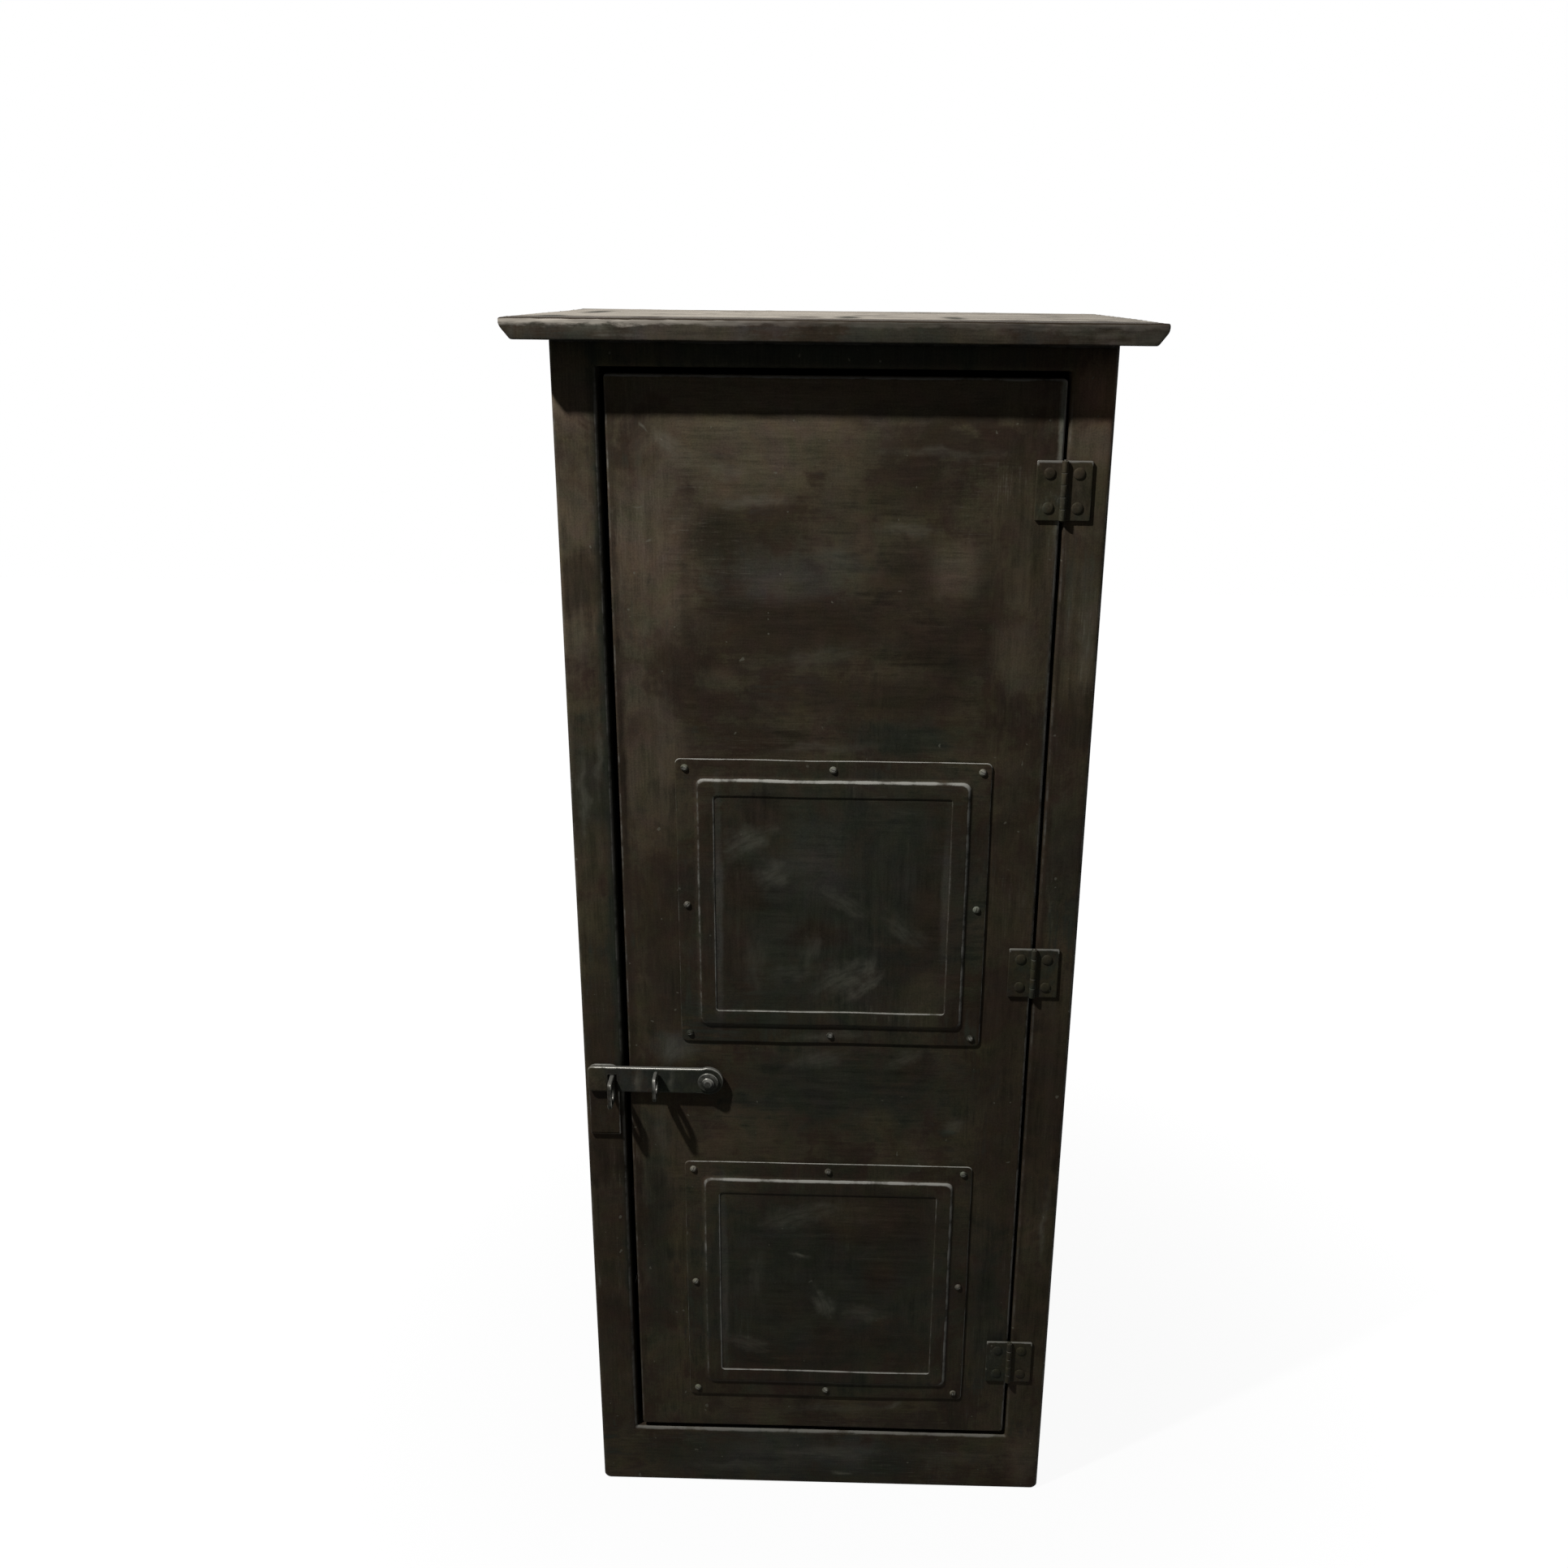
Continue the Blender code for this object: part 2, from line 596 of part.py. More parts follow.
def make_door(finishes, group):
    """Door pan with turned edges, the liner that closes it, and two pressed plates with their screws."""
    middle_x, middle_z = (DOOR_LEFT + DOOR_RIGHT) / 2, (DOOR_BOTTOM + DOOR_TOP) / 2
    half_x, half_z = DOOR_RIGHT - middle_x, DOOR_TOP - middle_z
    bm = bmesh.new()
    add_block(bm, (-half_x, 0, -half_z), (half_x, DOOR_DEPTH, half_z))
    open_side = [face for face in bm.faces if face.normal.y > 0.5]
    bmesh.ops.delete(bm, geom=open_side, context="FACES_ONLY")
    place = (middle_x, FACE_Y, middle_z)
    door = add_piece("door_panel", mesh_from("door_panel", bm), finishes["door"], group, place)
    round_edges(door, DOOR_EDGE_RADIUS, FOLD_STEPS, SMOOTH_ANGLE)
    thicken(door, DOOR_SHEET)

    inset = DOOR_SHEET + SEAT_GAP
    outline = rounded_rectangle(half_x - inset, half_z - inset, DOOR_EDGE_RADIUS - DOOR_SHEET)
    place = (middle_x, FACE_Y + DOOR_DEPTH - LINER_SHEET / 2, middle_z)
    add_flat_piece("door_liner", (outline,), LINER_SHEET, finishes["inside"], group, place, FACING_FRONT)

    plate_front = plate_mesh()
    screw = screw_mesh()
    holes = [*rivet_holes(-1).values(), (PIVOT_X, PIVOT_Z, PIVOT_SHANK_RADIUS)]
    for name, z in PLATE_HEIGHTS.items():
        seat = (PLATE_X, FACE_Y - SEAT_GAP, z)
        plate = add_piece(f"{name}_plate", plate_front, finishes["plate"], group, seat, FACING_FRONT)
        thicken(plate, PLATE_SHEET)
        plate_holes = screw_holes(z)
        cut_holes(plate, plate_holes)
        holes += plate_holes
        for i, (x, screw_z, _) in enumerate(plate_holes, 1):
            seat = (x, PLATE_FRONT_Y - SEAT_GAP, screw_z)
            add_piece(f"{name}_plate_screw_{i}", screw, finishes["screw"], group, seat, FACING_FRONT)
    cut_holes(door, holes)


def make_pivot(finishes, group):
    """Bolt that the latch bar swings on, riveted over inside the door, with its washer and its spacer."""
    iron = finishes["latch"]
    bore = PIVOT_SHANK_RADIUS + SEAT_GAP
    seat = WASHER_FRONT_Y - SEAT_GAP
    shank = FACE_Y + DOOR_SHEET + SEAT_GAP - seat
    end = shank + PIVOT_TAIL_HEIGHT
    profile = dome_profile(PIVOT_HEAD_RADIUS, PIVOT_HEAD_HEIGHT, 0)
    profile += [(PIVOT_SHANK_RADIUS, 0), (PIVOT_SHANK_RADIUS, -shank)]
    profile += [(PIVOT_TAIL_RADIUS, -shank), (PIVOT_SHANK_RADIUS, -end), (0, -end)]
    place = (PIVOT_X, seat, PIVOT_Z)
    bolt = add_piece("pivot_bolt", turned_mesh("pivot_bolt", profile), iron, group, place, FACING_FRONT)
    turn(bolt, ROUND_STEPS)

    shoulder = WASHER_RADIUS - WASHER_ROUNDING
    ring = [(bore, WASHER_THICKNESS)]
    ring += arc((shoulder, WASHER_THICKNESS - WASHER_ROUNDING), WASHER_ROUNDING, 90, 0, DOME_STEPS)
    ring += [(WASHER_RADIUS, 0), (bore, 0)]
    place = (PIVOT_X, WASHER_FRONT_Y + WASHER_THICKNESS, PIVOT_Z)
    washer = add_piece(
        "pivot_washer", turned_mesh("pivot_washer", ring, closed=True), iron, group, place, FACING_FRONT
    )
    turn(washer, ROUND_STEPS)

    outlines = (circle((0, 0), WASHER_RADIUS), circle((0, 0), bore))
    place = (PIVOT_X, (FACE_Y - SEAT_GAP + KEEPER_FRONT_Y) / 2, PIVOT_Z)
    add_flat_piece("pivot_spacer", outlines, KEEPER_THICKNESS, iron, group, place, FACING_FRONT)


def bar_outline():
    """Latch bar round its pivot: a round end, a long arm and a notch from below that drops over the lug."""
    half = BAR_HEIGHT / 2
    end = half + BAR_END_EXTRA
    open_angle = 180 - math.degrees(math.asin(half / end))
    tip = KEEPER_X - KEEPER_WIDTH / 2 - PIVOT_X
    notch = LUG_X - PIVOT_X
    notch_half = LUG_THICKNESS / 2 + NOTCH_CLEARANCE
    notch_top = LUG_RISE + SEAT_GAP
    corner = tip + BAR_TIP_RADIUS
    outline = arc((corner, half - BAR_TIP_RADIUS), BAR_TIP_RADIUS, 90, 180, FOLD_STEPS)
    outline += arc((corner, BAR_TIP_RADIUS - half), BAR_TIP_RADIUS, 180, 270, FOLD_STEPS)
    outline += [(notch - notch_half, -half), (notch - notch_half, notch_top)]
    outline += [(notch + notch_half, notch_top), (notch + notch_half, -half)]
    return outline + arc((0, 0), end, -open_angle, open_angle, ROUND_STEPS)


def forward_outline(reach, height, radius):
    """A plate that stands forward from its seat, with its two front corners rounded."""
    half = height / 2
    outline = [(0, half), (0, -half)]
    outline += arc((reach - radius, radius - half), radius, -90, 0, FOLD_STEPS)
    return outline + arc((reach - radius, half - radius), radius, 0, 90, FOLD_STEPS)


def make_latch(finishes, frame_group, latch_group):
    """Latch bar with its finger tab, and the keeper plate and padlock lug that it closes over."""
    iron = finishes["latch"]
    hole = circle((0, 0), PIVOT_SHANK_RADIUS + SEAT_GAP)
    place = (PIVOT_X, (BAR_FRONT_Y + BAR_BACK_Y) / 2, PIVOT_Z)
    add_flat_piece("latch_bar", (bar_outline(), hole), BAR_THICKNESS, iron, latch_group, place, FACING_FRONT)

    outlines = (
        forward_outline(TAB_REACH, TAB_HEIGHT, TAB_CORNER_RADIUS),
        circle((TAB_EYE_REACH, 0), TAB_EYE_RADIUS),
    )
    place = (PIVOT_X - TAB_OFFSET, BAR_FRONT_Y - SEAT_GAP, PIVOT_Z)
    add_flat_piece("finger_tab", outlines, TAB_THICKNESS, iron, latch_group, place, POINTING_FORWARD)

    half = KEEPER_WIDTH / 2
    shoulder = KEEPER_RISE - KEEPER_CORNER_RADIUS
    foot = KEEPER_RISE - KEEPER_HEIGHT
    inner = half - KEEPER_CORNER_RADIUS
    outline = arc((inner, shoulder), KEEPER_CORNER_RADIUS, 0, 90, FOLD_STEPS)
    outline += arc((-inner, shoulder), KEEPER_CORNER_RADIUS, 90, 180, FOLD_STEPS)
    outline += [(-half, foot), (half, foot)]
    place = (KEEPER_X, (FACE_Y - SEAT_GAP + KEEPER_FRONT_Y) / 2, PIVOT_Z)
    add_flat_piece("keeper_plate", (outline,), KEEPER_THICKNESS, iron, frame_group, place, FACING_FRONT)

    straight = LUG_EYE_LENGTH / 2 - LUG_EYE_RADIUS
    eye = arc((LUG_EYE_REACH, straight), LUG_EYE_RADIUS, 0, 180, ROUND_STEPS // 2)
    eye += arc((LUG_EYE_REACH, -straight), LUG_EYE_RADIUS, 180, 360, ROUND_STEPS // 2)
    outlines = (forward_outline(LUG_REACH, LUG_HEIGHT, LUG_CORNER_RADIUS), eye)
    place = (LUG_X, KEEPER_FRONT_Y - SEAT_GAP, PIVOT_Z + LUG_RISE - LUG_HEIGHT / 2)
    add_flat_piece("padlock_lug", outlines, LUG_THICKNESS, iron, frame_group, place, POINTING_FORWARD)


def main():
    """Builds the whole cabinet, closed and latched."""
    finishes = {
        "carcass": new_finish("carcass_paint", (0.030, 0.026, 0.020), 0.55, 0.35),
        "inside": new_finish("inside_paint", (0.024, 0.023, 0.020), 0.65, 0.20),
        "door": new_finish("door_paint", (0.032, 0.027, 0.021), 0.50, 0.35),
        "plate": new_finish("plate_paint", (0.024, 0.024, 0.020), 0.45, 0.40),
        "hinge": new_finish("hinge_iron", (0.030, 0.028, 0.022), 0.50, 0.50),
        "latch": new_finish("latch_iron", (0.040, 0.042, 0.036), 0.40, 0.60),
        "screw": new_finish("screw_steel", (0.075, 0.070, 0.060), 0.40, 0.70),
        "board": new_finish("board_paint", (0.110, 0.085, 0.060), 0.70, 0.00),
        "shelf": new_finish("shelf_wood", (0.090, 0.060, 0.038), 0.75, 0.00),
    }
    cabinet = new_axis("cabinet", (0, 0, 0))
    door_axis = new_axis("door_axis", (HINGE_X, HINGE_Y, 0), cabinet)
    latch_axis = new_axis("latch_axis", (PIVOT_X, BAR_FRONT_Y, PIVOT_Z), door_axis)

    make_carcass(finishes, cabinet)
    make_hinges(finishes, cabinet, door_axis)
    cut_holes(bpy.data.objects["right_stile"], rivet_holes(1).values())
    make_door(finishes, door_axis)
    make_pivot(finishes, door_axis)
    make_latch(finishes, cabinet, latch_axis)


clear_scene()
PARTS = new_collection("metal_cabinet")
CUTTERS = new_collection("cutters")
main()
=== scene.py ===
"""Looks of a worn metal cabinet: folded sheets, pressed plates, hinges, latch, top board and their finishes.

Metres, +Z up, front towards -Y. Run as a script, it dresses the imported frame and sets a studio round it.
"""

import json
from typing import NamedTuple

import bmesh
import bpy
import numpy as np
from mathutils import Matrix, Vector


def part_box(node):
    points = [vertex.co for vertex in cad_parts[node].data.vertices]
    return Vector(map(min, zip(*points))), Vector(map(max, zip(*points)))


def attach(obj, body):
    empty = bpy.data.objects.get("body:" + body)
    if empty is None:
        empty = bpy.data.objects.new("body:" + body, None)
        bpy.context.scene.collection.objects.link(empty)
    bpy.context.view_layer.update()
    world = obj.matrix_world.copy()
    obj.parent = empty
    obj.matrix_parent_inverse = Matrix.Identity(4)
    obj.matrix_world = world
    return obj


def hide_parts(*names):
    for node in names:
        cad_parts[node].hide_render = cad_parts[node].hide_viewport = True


bl_info = {
    "name": "Worn Metal Cabinet",
    "version": (1, 0, 0),
    "blender": (4, 5, 0),
    "location": "View3D > Sidebar > Cabinet",
    "description": "Builds the worn surfaces of a folded metal cabinet and a studio to see it in",
    "category": "Object",
}

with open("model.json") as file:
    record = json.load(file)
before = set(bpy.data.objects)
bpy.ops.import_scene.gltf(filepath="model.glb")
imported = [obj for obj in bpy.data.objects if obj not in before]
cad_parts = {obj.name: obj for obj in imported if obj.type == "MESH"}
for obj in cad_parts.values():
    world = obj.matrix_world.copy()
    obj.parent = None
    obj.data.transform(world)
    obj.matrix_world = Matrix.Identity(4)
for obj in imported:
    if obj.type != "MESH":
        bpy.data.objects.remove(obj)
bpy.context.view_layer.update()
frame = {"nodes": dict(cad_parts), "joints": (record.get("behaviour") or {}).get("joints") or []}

# Unit vectors across, up and out of a surface that faces one way
FACINGS = {
    "front": ((1, 0, 0), (0, 0, 1), (0, -1, 0)),
    "back": ((-1, 0, 0), (0, 0, 1), (0, 1, 0)),
    "left": ((0, -1, 0), (0, 0, 1), (-1, 0, 0)),
    "right": ((0, 1, 0), (0, 0, 1), (1, 0, 0)),
    "top": ((1, 0, 0), (0, 1, 0), (0, 0, 1)),
}
# Axes that run across and up the front
FRONT = [0, 2]
# Hinges and shelves, then plates, from the floor up
LEVELS = ("lower", "middle", "upper")
PLATES = ("lower", "upper")
# Points nearer than this become one, and folds sharper than this aren't shaded smooth
WELD = 0.000002
SMOOTH_ANGLE = np.radians(40)
# An edge's wear is scaled by a level plus shares of how far it faces right and up, up to a limit; the upward
# share is a painted highlight
EDGE_WEAR_AND_HIGHLIGHT_LEVEL = 0.62
EDGE_WEAR_AND_HIGHLIGHT_FACING = np.array((0.34, 0.0, 0.70))
EDGE_WEAR_AND_HIGHLIGHT_LIMIT = 1.4


class Box(NamedTuple):
    """Lowest and highest corner of some nodes of the frame."""

    low: np.ndarray
    high: np.ndarray

    @property
    def middle(self):
        """The point halfway between the corners."""
        return (self.low + self.high) / 2

    @property
    def size(self):
        """Width, depth and height."""
        return self.high - self.low


def box_of(*nodes):
    """The box round some nodes of the frame together."""
    boxes = np.array([[list(corner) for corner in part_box(node)] for node in nodes])
    return Box(boxes[:, 0].min(0), boxes[:, 1].max(0))


def joint_place(name):
    """The point that a joint of the frame turns about."""
    return next(np.array(joint["pos_m"]) for joint in frame["joints"] if joint["name"] == name)


def length_property(name, description, value):
    """A length that a user can change."""
    return bpy.props.FloatProperty(name=name, description=description, default=value, min=0, unit="LENGTH")


def colour_property(name, description, value):
    """A linear colour that a user can change."""
    return bpy.props.FloatVectorProperty(
        name=name, description=description, default=value, size=3, min=0, max=1, subtype="COLOR"
    )


class CabinetSizes(bpy.types.PropertyGroup):
    """Sizes of the finish: sheets, folds, rounded edges and wear."""

    sheet: length_property("Sheet", "Thickness of the folded sheet", 0.002)
    fold_radius: length_property("Fold radius", "Radius of the frame's folds", 0.005)
    foot_radius: length_property("Foot radius", "Radius of the frame's lower corners", 0.008)
    door_fold: length_property("Door fold", "Radius of the door's turned edges", 0.004)
    plate_fold: length_property("Plate fold", "Radius of the folds pressed into a plate", 0.0022)
    flange: length_property("Flange", "Width of a plate's flat flange", 0.022)
    band: length_property("Band", "Width of a plate's raised band", 0.022)
    band_slope: length_property("Band slope", "Run of the band's outer slope", 0.004)
    centre_sink: length_property("Centre sink", "Drop from the band to a plate's centre", 0.0014)
    easing: length_property("Easing", "Rounding of cut edges", 0.0006)
    forged_easing: length_property("Forged easing", "Rounding of the latch's and the keeper's edges", 0.0008)
    unevenness: length_property("Unevenness", "Swell of the hand-beaten sheets", 0.0007)
    joint_gap: length_property("Joint gap", "Gap between sheets that the side and back sheets close", 0.0003)
    board_edge: length_property("Board edge", "Upright part of the board's ends", 0.008)
    board_chamfer: length_property("Board chamfer", "Run of the chamfer below the board's ends", 0.011)
    board_wear: length_property("Board wear", "Depth worn off the board's arrises", 0.0009)
    slot_width: length_property("Slot width", "Width of a screw's slot", 0.001)
    slot_depth: length_property("Slot depth", "Depth of a screw's slot", 0.001)
    leaf: length_property("Leaf", "Thickness of a hinge's leaf", 0.0025)
    leaf_corner: length_property("Leaf corner", "Rounding of a hinge's corners", 0.0015)
    knuckle_gap: length_property("Knuckle gap", "Gap between two knuckles of a hinge", 0.0004)
    bar_height: length_property("Bar height", "Height of the latch bar", 0.034)
    bar_corner: length_property("Bar corner", "Rounding of the latch bar's free end", 0.006)
    lug_clearance: length_property("Lug clearance", "Room beside the lug in the latch bar's notch", 0.003)
    bolt_head: length_property("Bolt head", "Radius of the pivot bolt's head", 0.008)
    bolt_shank: length_property("Bolt shank", "Radius of the pivot bolt's shank", 0.005)
    keeper_corner: length_property("Keeper corner", "Rounding of the keeper's upper corners", 0.010)
    keeper_foot: length_property("Keeper foot", "Rounding of the keeper's lower corners", 0.002)


class CabinetColours(bpy.types.PropertyGroup):
    """Colours of the finishes."""

    light_brown: colour_property("Light brown", "Thin brown paint, rubbed light", (0.060, 0.047, 0.032))
    mid_brown: colour_property("Mid brown", "Brown paint", (0.035, 0.0285, 0.0175))
    dark_brown: colour_property("Dark brown", "Thick brown paint", (0.0180, 0.0133, 0.0090))
    cool_black: colour_property("Cool black", "Green-black paint on the plates", (0.0155, 0.0165, 0.0120))
    grey: colour_property("Grey", "Rubbed grey paint", (0.040, 0.038, 0.031))
    pale: colour_property("Pale", "Pale scuffs", (0.100, 0.097, 0.076))
    iron: colour_property("Iron", "Bare iron on worn edges", (0.20, 0.195, 0.175))
    latch: colour_property("Latch", "Dark iron of the latch", (0.020, 0.021, 0.017))
    hinge: colour_property("Hinge", "Brown paint on the hinges", (0.0270, 0.0225, 0.0140))
    board_top: colour_property("Board top", "Bare dry wood on the board's top", (0.235, 0.212, 0.180))
    board_paint: colour_property("Board paint", "Paint left on the board", (0.034, 0.0310, 0.0245))
    shelf: colour_property("Shelf", "Stained shelf boards", (0.090, 0.060, 0.038))
    floor: colour_property("Floor", "Pale studio floor", (0.22, 0.22, 0.22))


class StageSettings(bpy.types.PropertyGroup):
    """Light of the studio."""

    key_power: bpy.props.FloatProperty(
        name="Key power", description="Power of the main lamp", default=158.0, min=0, unit="POWER"
    )
    key_size: bpy.props.FloatProperty(
        name="Key size", description="Width of the main lamp", default=0.10, min=0.01, unit="LENGTH"
    )
    fill: bpy.props.FloatProperty(
        name="Fill", description="Level of the light from all round", default=0.085, min=0, max=1
    )


class Shape(NamedTuple):
    """A surface: its points, its faces and how worn each point is."""

    points: np.ndarray
    faces: list
    edge: np.ndarray

    def moved(self, offset):
        """The surface shifted, as a whole or by an offset for each point."""
        return self._replace(points=self.points + offset)

    def turned(self, angle):
        """The surface turned about the axis that points out of the front."""
        cosine, sine = np.cos(angle), np.sin(angle)
        spin = np.array(((cosine, 0, -sine), (0, 1, 0), (sine, 0, cosine)))
        return self._replace(points=self.points @ spin.T)


def joined(shapes):
    """Several surfaces as one."""
    starts = np.cumsum([0] + [len(shape.points) for shape in shapes])
    faces = [[int(start) + i for i in face] for shape, start in zip(shapes, starts) for face in shape.faces]
    return Shape(np.concatenate([s.points for s in shapes]), faces, np.concatenate([s.edge for s in shapes]))


def placed(across, up, out, facing):
    """Points from distances across, up and out of a surface that faces one way."""
    return np.stack(np.broadcast_arrays(across, up, out), -1) @ np.array(FACINGS[facing], float)


def grid_faces(rows, columns, wrap=True):
    """Four-sided faces of a grid of points, joined round its columns when it wraps."""
    across = np.arange(columns if wrap else columns - 1)
    start = np.arange(rows - 1)[:, None] * columns
    ahead = (across + 1) % columns
    faces = np.stack((start + across, start + ahead, start + columns + ahead, start + columns + across), -1)
    return faces.reshape(-1, 4).tolist()


def loft(points, edge):
    """The surface through rows of closed loops, from back to front, with one wear value for each row."""
    rows, columns = points.shape[:2]
    wear = np.broadcast_to(np.asarray(edge, float)[:, None], (rows, columns))
    return Shape(points.reshape(-1, 3), grid_faces(rows, columns), wear.reshape(-1))


def rectangle_loops(low, high, radius, corner_steps, steps):
    """Points round rectangles with round corners, one loop for each row of corners.

    A corner is a quarter circle about a centre one radius in from both sides, and each side is divided
    evenly, so that loops of unlike size match point for point. A loop runs anticlockwise from the right of
    the upper right corner. The radius is cut to half of the shorter side.
    """
    most = (high - low).min(-1) / 2
    radius = np.clip(np.broadcast_to(radius, (len(low), 4)), 0, np.maximum(most, 0)[:, None])
    signs = np.array(((1, 1), (-1, 1), (-1, -1), (1, -1)))
    middle = np.where(signs > 0, high[:, None], low[:, None]) - signs * radius[..., None]
    angles = np.radians((0, 90, 180, 270))[:, None] + np.linspace(0, np.pi / 2, corner_steps + 1)
    turns = np.stack((np.cos(angles), np.sin(angles)), -1)
    arcs = middle[:, :, None] + radius[..., None, None] * turns
    stretches = []
    for corner in range(4):
        count = steps[corner % 2]
        along = (np.arange(1, count) / count)[:, None]
        start = arcs[:, corner, -1, None]
        end = arcs[:, (corner + 1) % 4, 0, None]
        stretches += [arcs[:, corner], start + (end - start) * along]
    return np.concatenate(stretches, axis=1)


def arc(centre, radius, start, end, steps):
    """Points along an arc between two angles in degrees."""
    angles = np.radians(np.linspace(start, end, steps + 1))
    return np.stack((centre[0] + radius * np.cos(angles), centre[1] + radius * np.sin(angles)), -1)


def rounded_path(path, radii, steps=4):
    """A path with its corners rounded, and how far each of its points is into a fold.

    A rounded corner is the quadratic curve that starts one radius before the corner, ends one radius after
    it and is drawn towards it. The second result is one at the middle of each fold and zero at its ends.
    """
    path = np.asarray(path, float)
    ahead = np.diff(path, axis=0)
    ahead /= np.linalg.norm(ahead, axis=1, keepdims=True)
    turn = path[1:-1, None]
    radii = np.broadcast_to(radii, len(turn))[:, None, None]
    before = turn - ahead[:-1, None] * radii
    after = turn + ahead[1:, None] * radii
    t = np.linspace(0, 1, steps + 1)[:, None]
    curves = (1 - t) ** 2 * before + 2 * t * (1 - t) * turn + t**2 * after
    points = np.concatenate((path[:1], curves.reshape(-1, 2), path[-1:]))
    edge = np.concatenate(([0], np.tile(4 * (t * (1 - t))[:, 0], len(turn)), [0]))
    return points, edge


def finer(path, edge, longest):
    """The same path with points added, so that its straight stretches are about as long as asked."""
    places = np.concatenate(([0], np.cumsum(np.linalg.norm(np.diff(path, axis=0), axis=1))))
    extra = np.arange(longest, places[-1], longest)
    extra = extra[np.abs(extra[:, None] - places).min(1) > longest / 3]
    every = np.sort(np.concatenate((places, extra)))
    columns = [np.interp(every, places, values) for values in (*path.T, edge)]
    return np.stack(columns[:2], -1), columns[2]


def bridged(first, second, rows=4):
    """Two runs of rows as one, with more rows spread evenly between the first run and the second."""
    share = np.linspace(0, 1, rows + 2)[1:-1, None]
    return np.concatenate((first, first[-1] + (second[0] - first[-1]) * share, second))


def swell(points, amount, length, seed, waves=6):
    """Slow uneven displacement of points in all three directions.

    It is a mean of sine waves, each with a seeded direction, phase and a wavelength near the given length.
    """
    draws = np.random.default_rng(seed)
    ways = draws.normal(size=(waves, 3))
    lengths = length * draws.uniform(0.6, 1.6, (waves, 1))
    ways *= 2 * np.pi / (lengths * np.linalg.norm(ways, axis=1, keepdims=True))
    phases = draws.uniform(0, 2 * np.pi, (waves, 3))
    return np.sin((points @ ways.T)[..., None] + phases).mean(-2) * np.asarray(amount)


def sheet_shape(low, high, radii, profile, edge, facing, steps, corner_steps=4):
    """A sheet pressed or folded along its outline.

    The profile is a path of insets from the outline and distances out. Each of its points is carried round
    the outline shrunk by its inset, with its own corner radius. The last loop may close on the middle line.
    """
    inset = profile[:, :1]
    loops = rectangle_loops(low + inset, high - inset, radii[:, None], corner_steps, steps)
    return loft(placed(loops[..., 0], loops[..., 1], profile[:, 1:], facing), edge)


def plate_profile(thickness, easing, reach, back=0.0):
    """Profile of a flat plate, from the middle of its back, round its eased edge, to its front's middle."""
    front = back + thickness
    return rounded_path(((reach, back), (0, back), (0, front), (reach, front)), easing, 3)


def cylinder_path(radius, tall):
    """Section of a plain cylinder, from the middle of its foot to the middle of its top."""
    return ((0, 0), (radius, 0), (radius, tall), (0, tall))


def turned_shape(profile, edge, centre, facing, steps):
    """A turned piece: a profile of radius and distance out, from back to front, carried round its axis."""
    profile = np.asarray(profile, float)
    angles = np.linspace(0, 2 * np.pi, steps, endpoint=False)
    radius = profile[:, :1]
    points = placed(radius * np.cos(angles), radius * np.sin(angles), profile[:, 1:], facing)
    return loft(points + centre, edge)


def outline_shape(outline, thickness, easing, centre, margin=0.003):
    """A flat bar on the front, cut to an outline, with eased edges and a narrow worn margin.

    Each row is the outline moved inwards along the mean normal of its two edges. Both faces are closed flat.
    """
    ahead = np.roll(outline, -1, axis=0) - outline
    ahead /= np.linalg.norm(ahead, axis=1, keepdims=True)
    normal = np.stack((-ahead[:, 1], ahead[:, 0]), -1)
    before = np.roll(normal, 1, axis=0)
    inward = (normal + before) / (1 + (normal * before).sum(-1, keepdims=True))
    # Inset, distance out and wear of each row
    rows = np.array(
        (
            (margin, 0, 0),
            (easing, 0, 0.3),
            (0, easing, 0.6),
            (0, thickness - easing, 1),
            (easing * 0.4, thickness - easing * 0.4, 1),
            (easing, thickness, 1),
            (margin, thickness, 0),
        )
    )
    loops = outline + rows[:, :1, None] * inward
    shape = loft(placed(loops[..., 0], loops[..., 1], rows[:, 1:2], "front") + centre, rows[:, 2])
    back = np.arange(len(outline))
    front = back + (len(rows) - 1) * len(outline)
    return shape._replace(faces=shape.faces + [back[::-1].tolist(), front.tolist()])


def eye_shape(node, eye_back, eye_halves, power, easing, steps=72):
    """An upright plate with an eye, which points forward from its seat and fills the box of a node.

    Round the eye's middle, the outer edge at each angle is a superellipse with unlike front and back
    half-widths, and the eye is an ellipse. A rounded band of the plate's thickness is carried round between
    the two.
    """
    box = box_of(node)
    eye = np.array((box.middle[0], box.high[1] - eye_back, box.middle[2]))
    angles = np.linspace(0, 2 * np.pi, steps, endpoint=False)
    cosine, sine = np.cos(angles), np.sin(angles)
    reach = np.where(cosine > 0, eye[1] - box.low[1], eye_back)
    half = box.size[2] / 2
    outer = (np.abs(cosine / reach) ** power + np.abs(sine / half) ** power) ** (-1 / power)
    inner = ((cosine / eye_halves[0]) ** 2 + (sine / eye_halves[1]) ** 2) ** -0.5
    wall = box.size[0] / 2
    # One for the outer edge or zero for the eye's, distance from that edge, distance out and wear of each row
    rows = np.array(
        (
            (1, 0, easing - wall, 0.8),
            (1, 0, wall - easing, 0.8),
            (1, easing, wall, 1),
            (1, 3 * easing, wall, 0.2),
            (0, 2 * easing, wall, 0.2),
            (0, easing, wall, 0.8),
            (0, 0, wall - easing, 0.6),
            (0, 0, easing - wall, 0.6),
            (0, easing, -wall, 0.8),
            (0, 2 * easing, -wall, 0.2),
            (1, 3 * easing, -wall, 0.2),
            (1, easing, -wall, 1),
            (1, 0, easing - wall, 0.8),
        )
    )
    radius = np.where(rows[:, :1] > 0, outer - rows[:, 1:2], inner + rows[:, 1:2])
    return loft(placed(radius * cosine, radius * sine, rows[:, 2:3], "left") + eye, rows[:, 3])


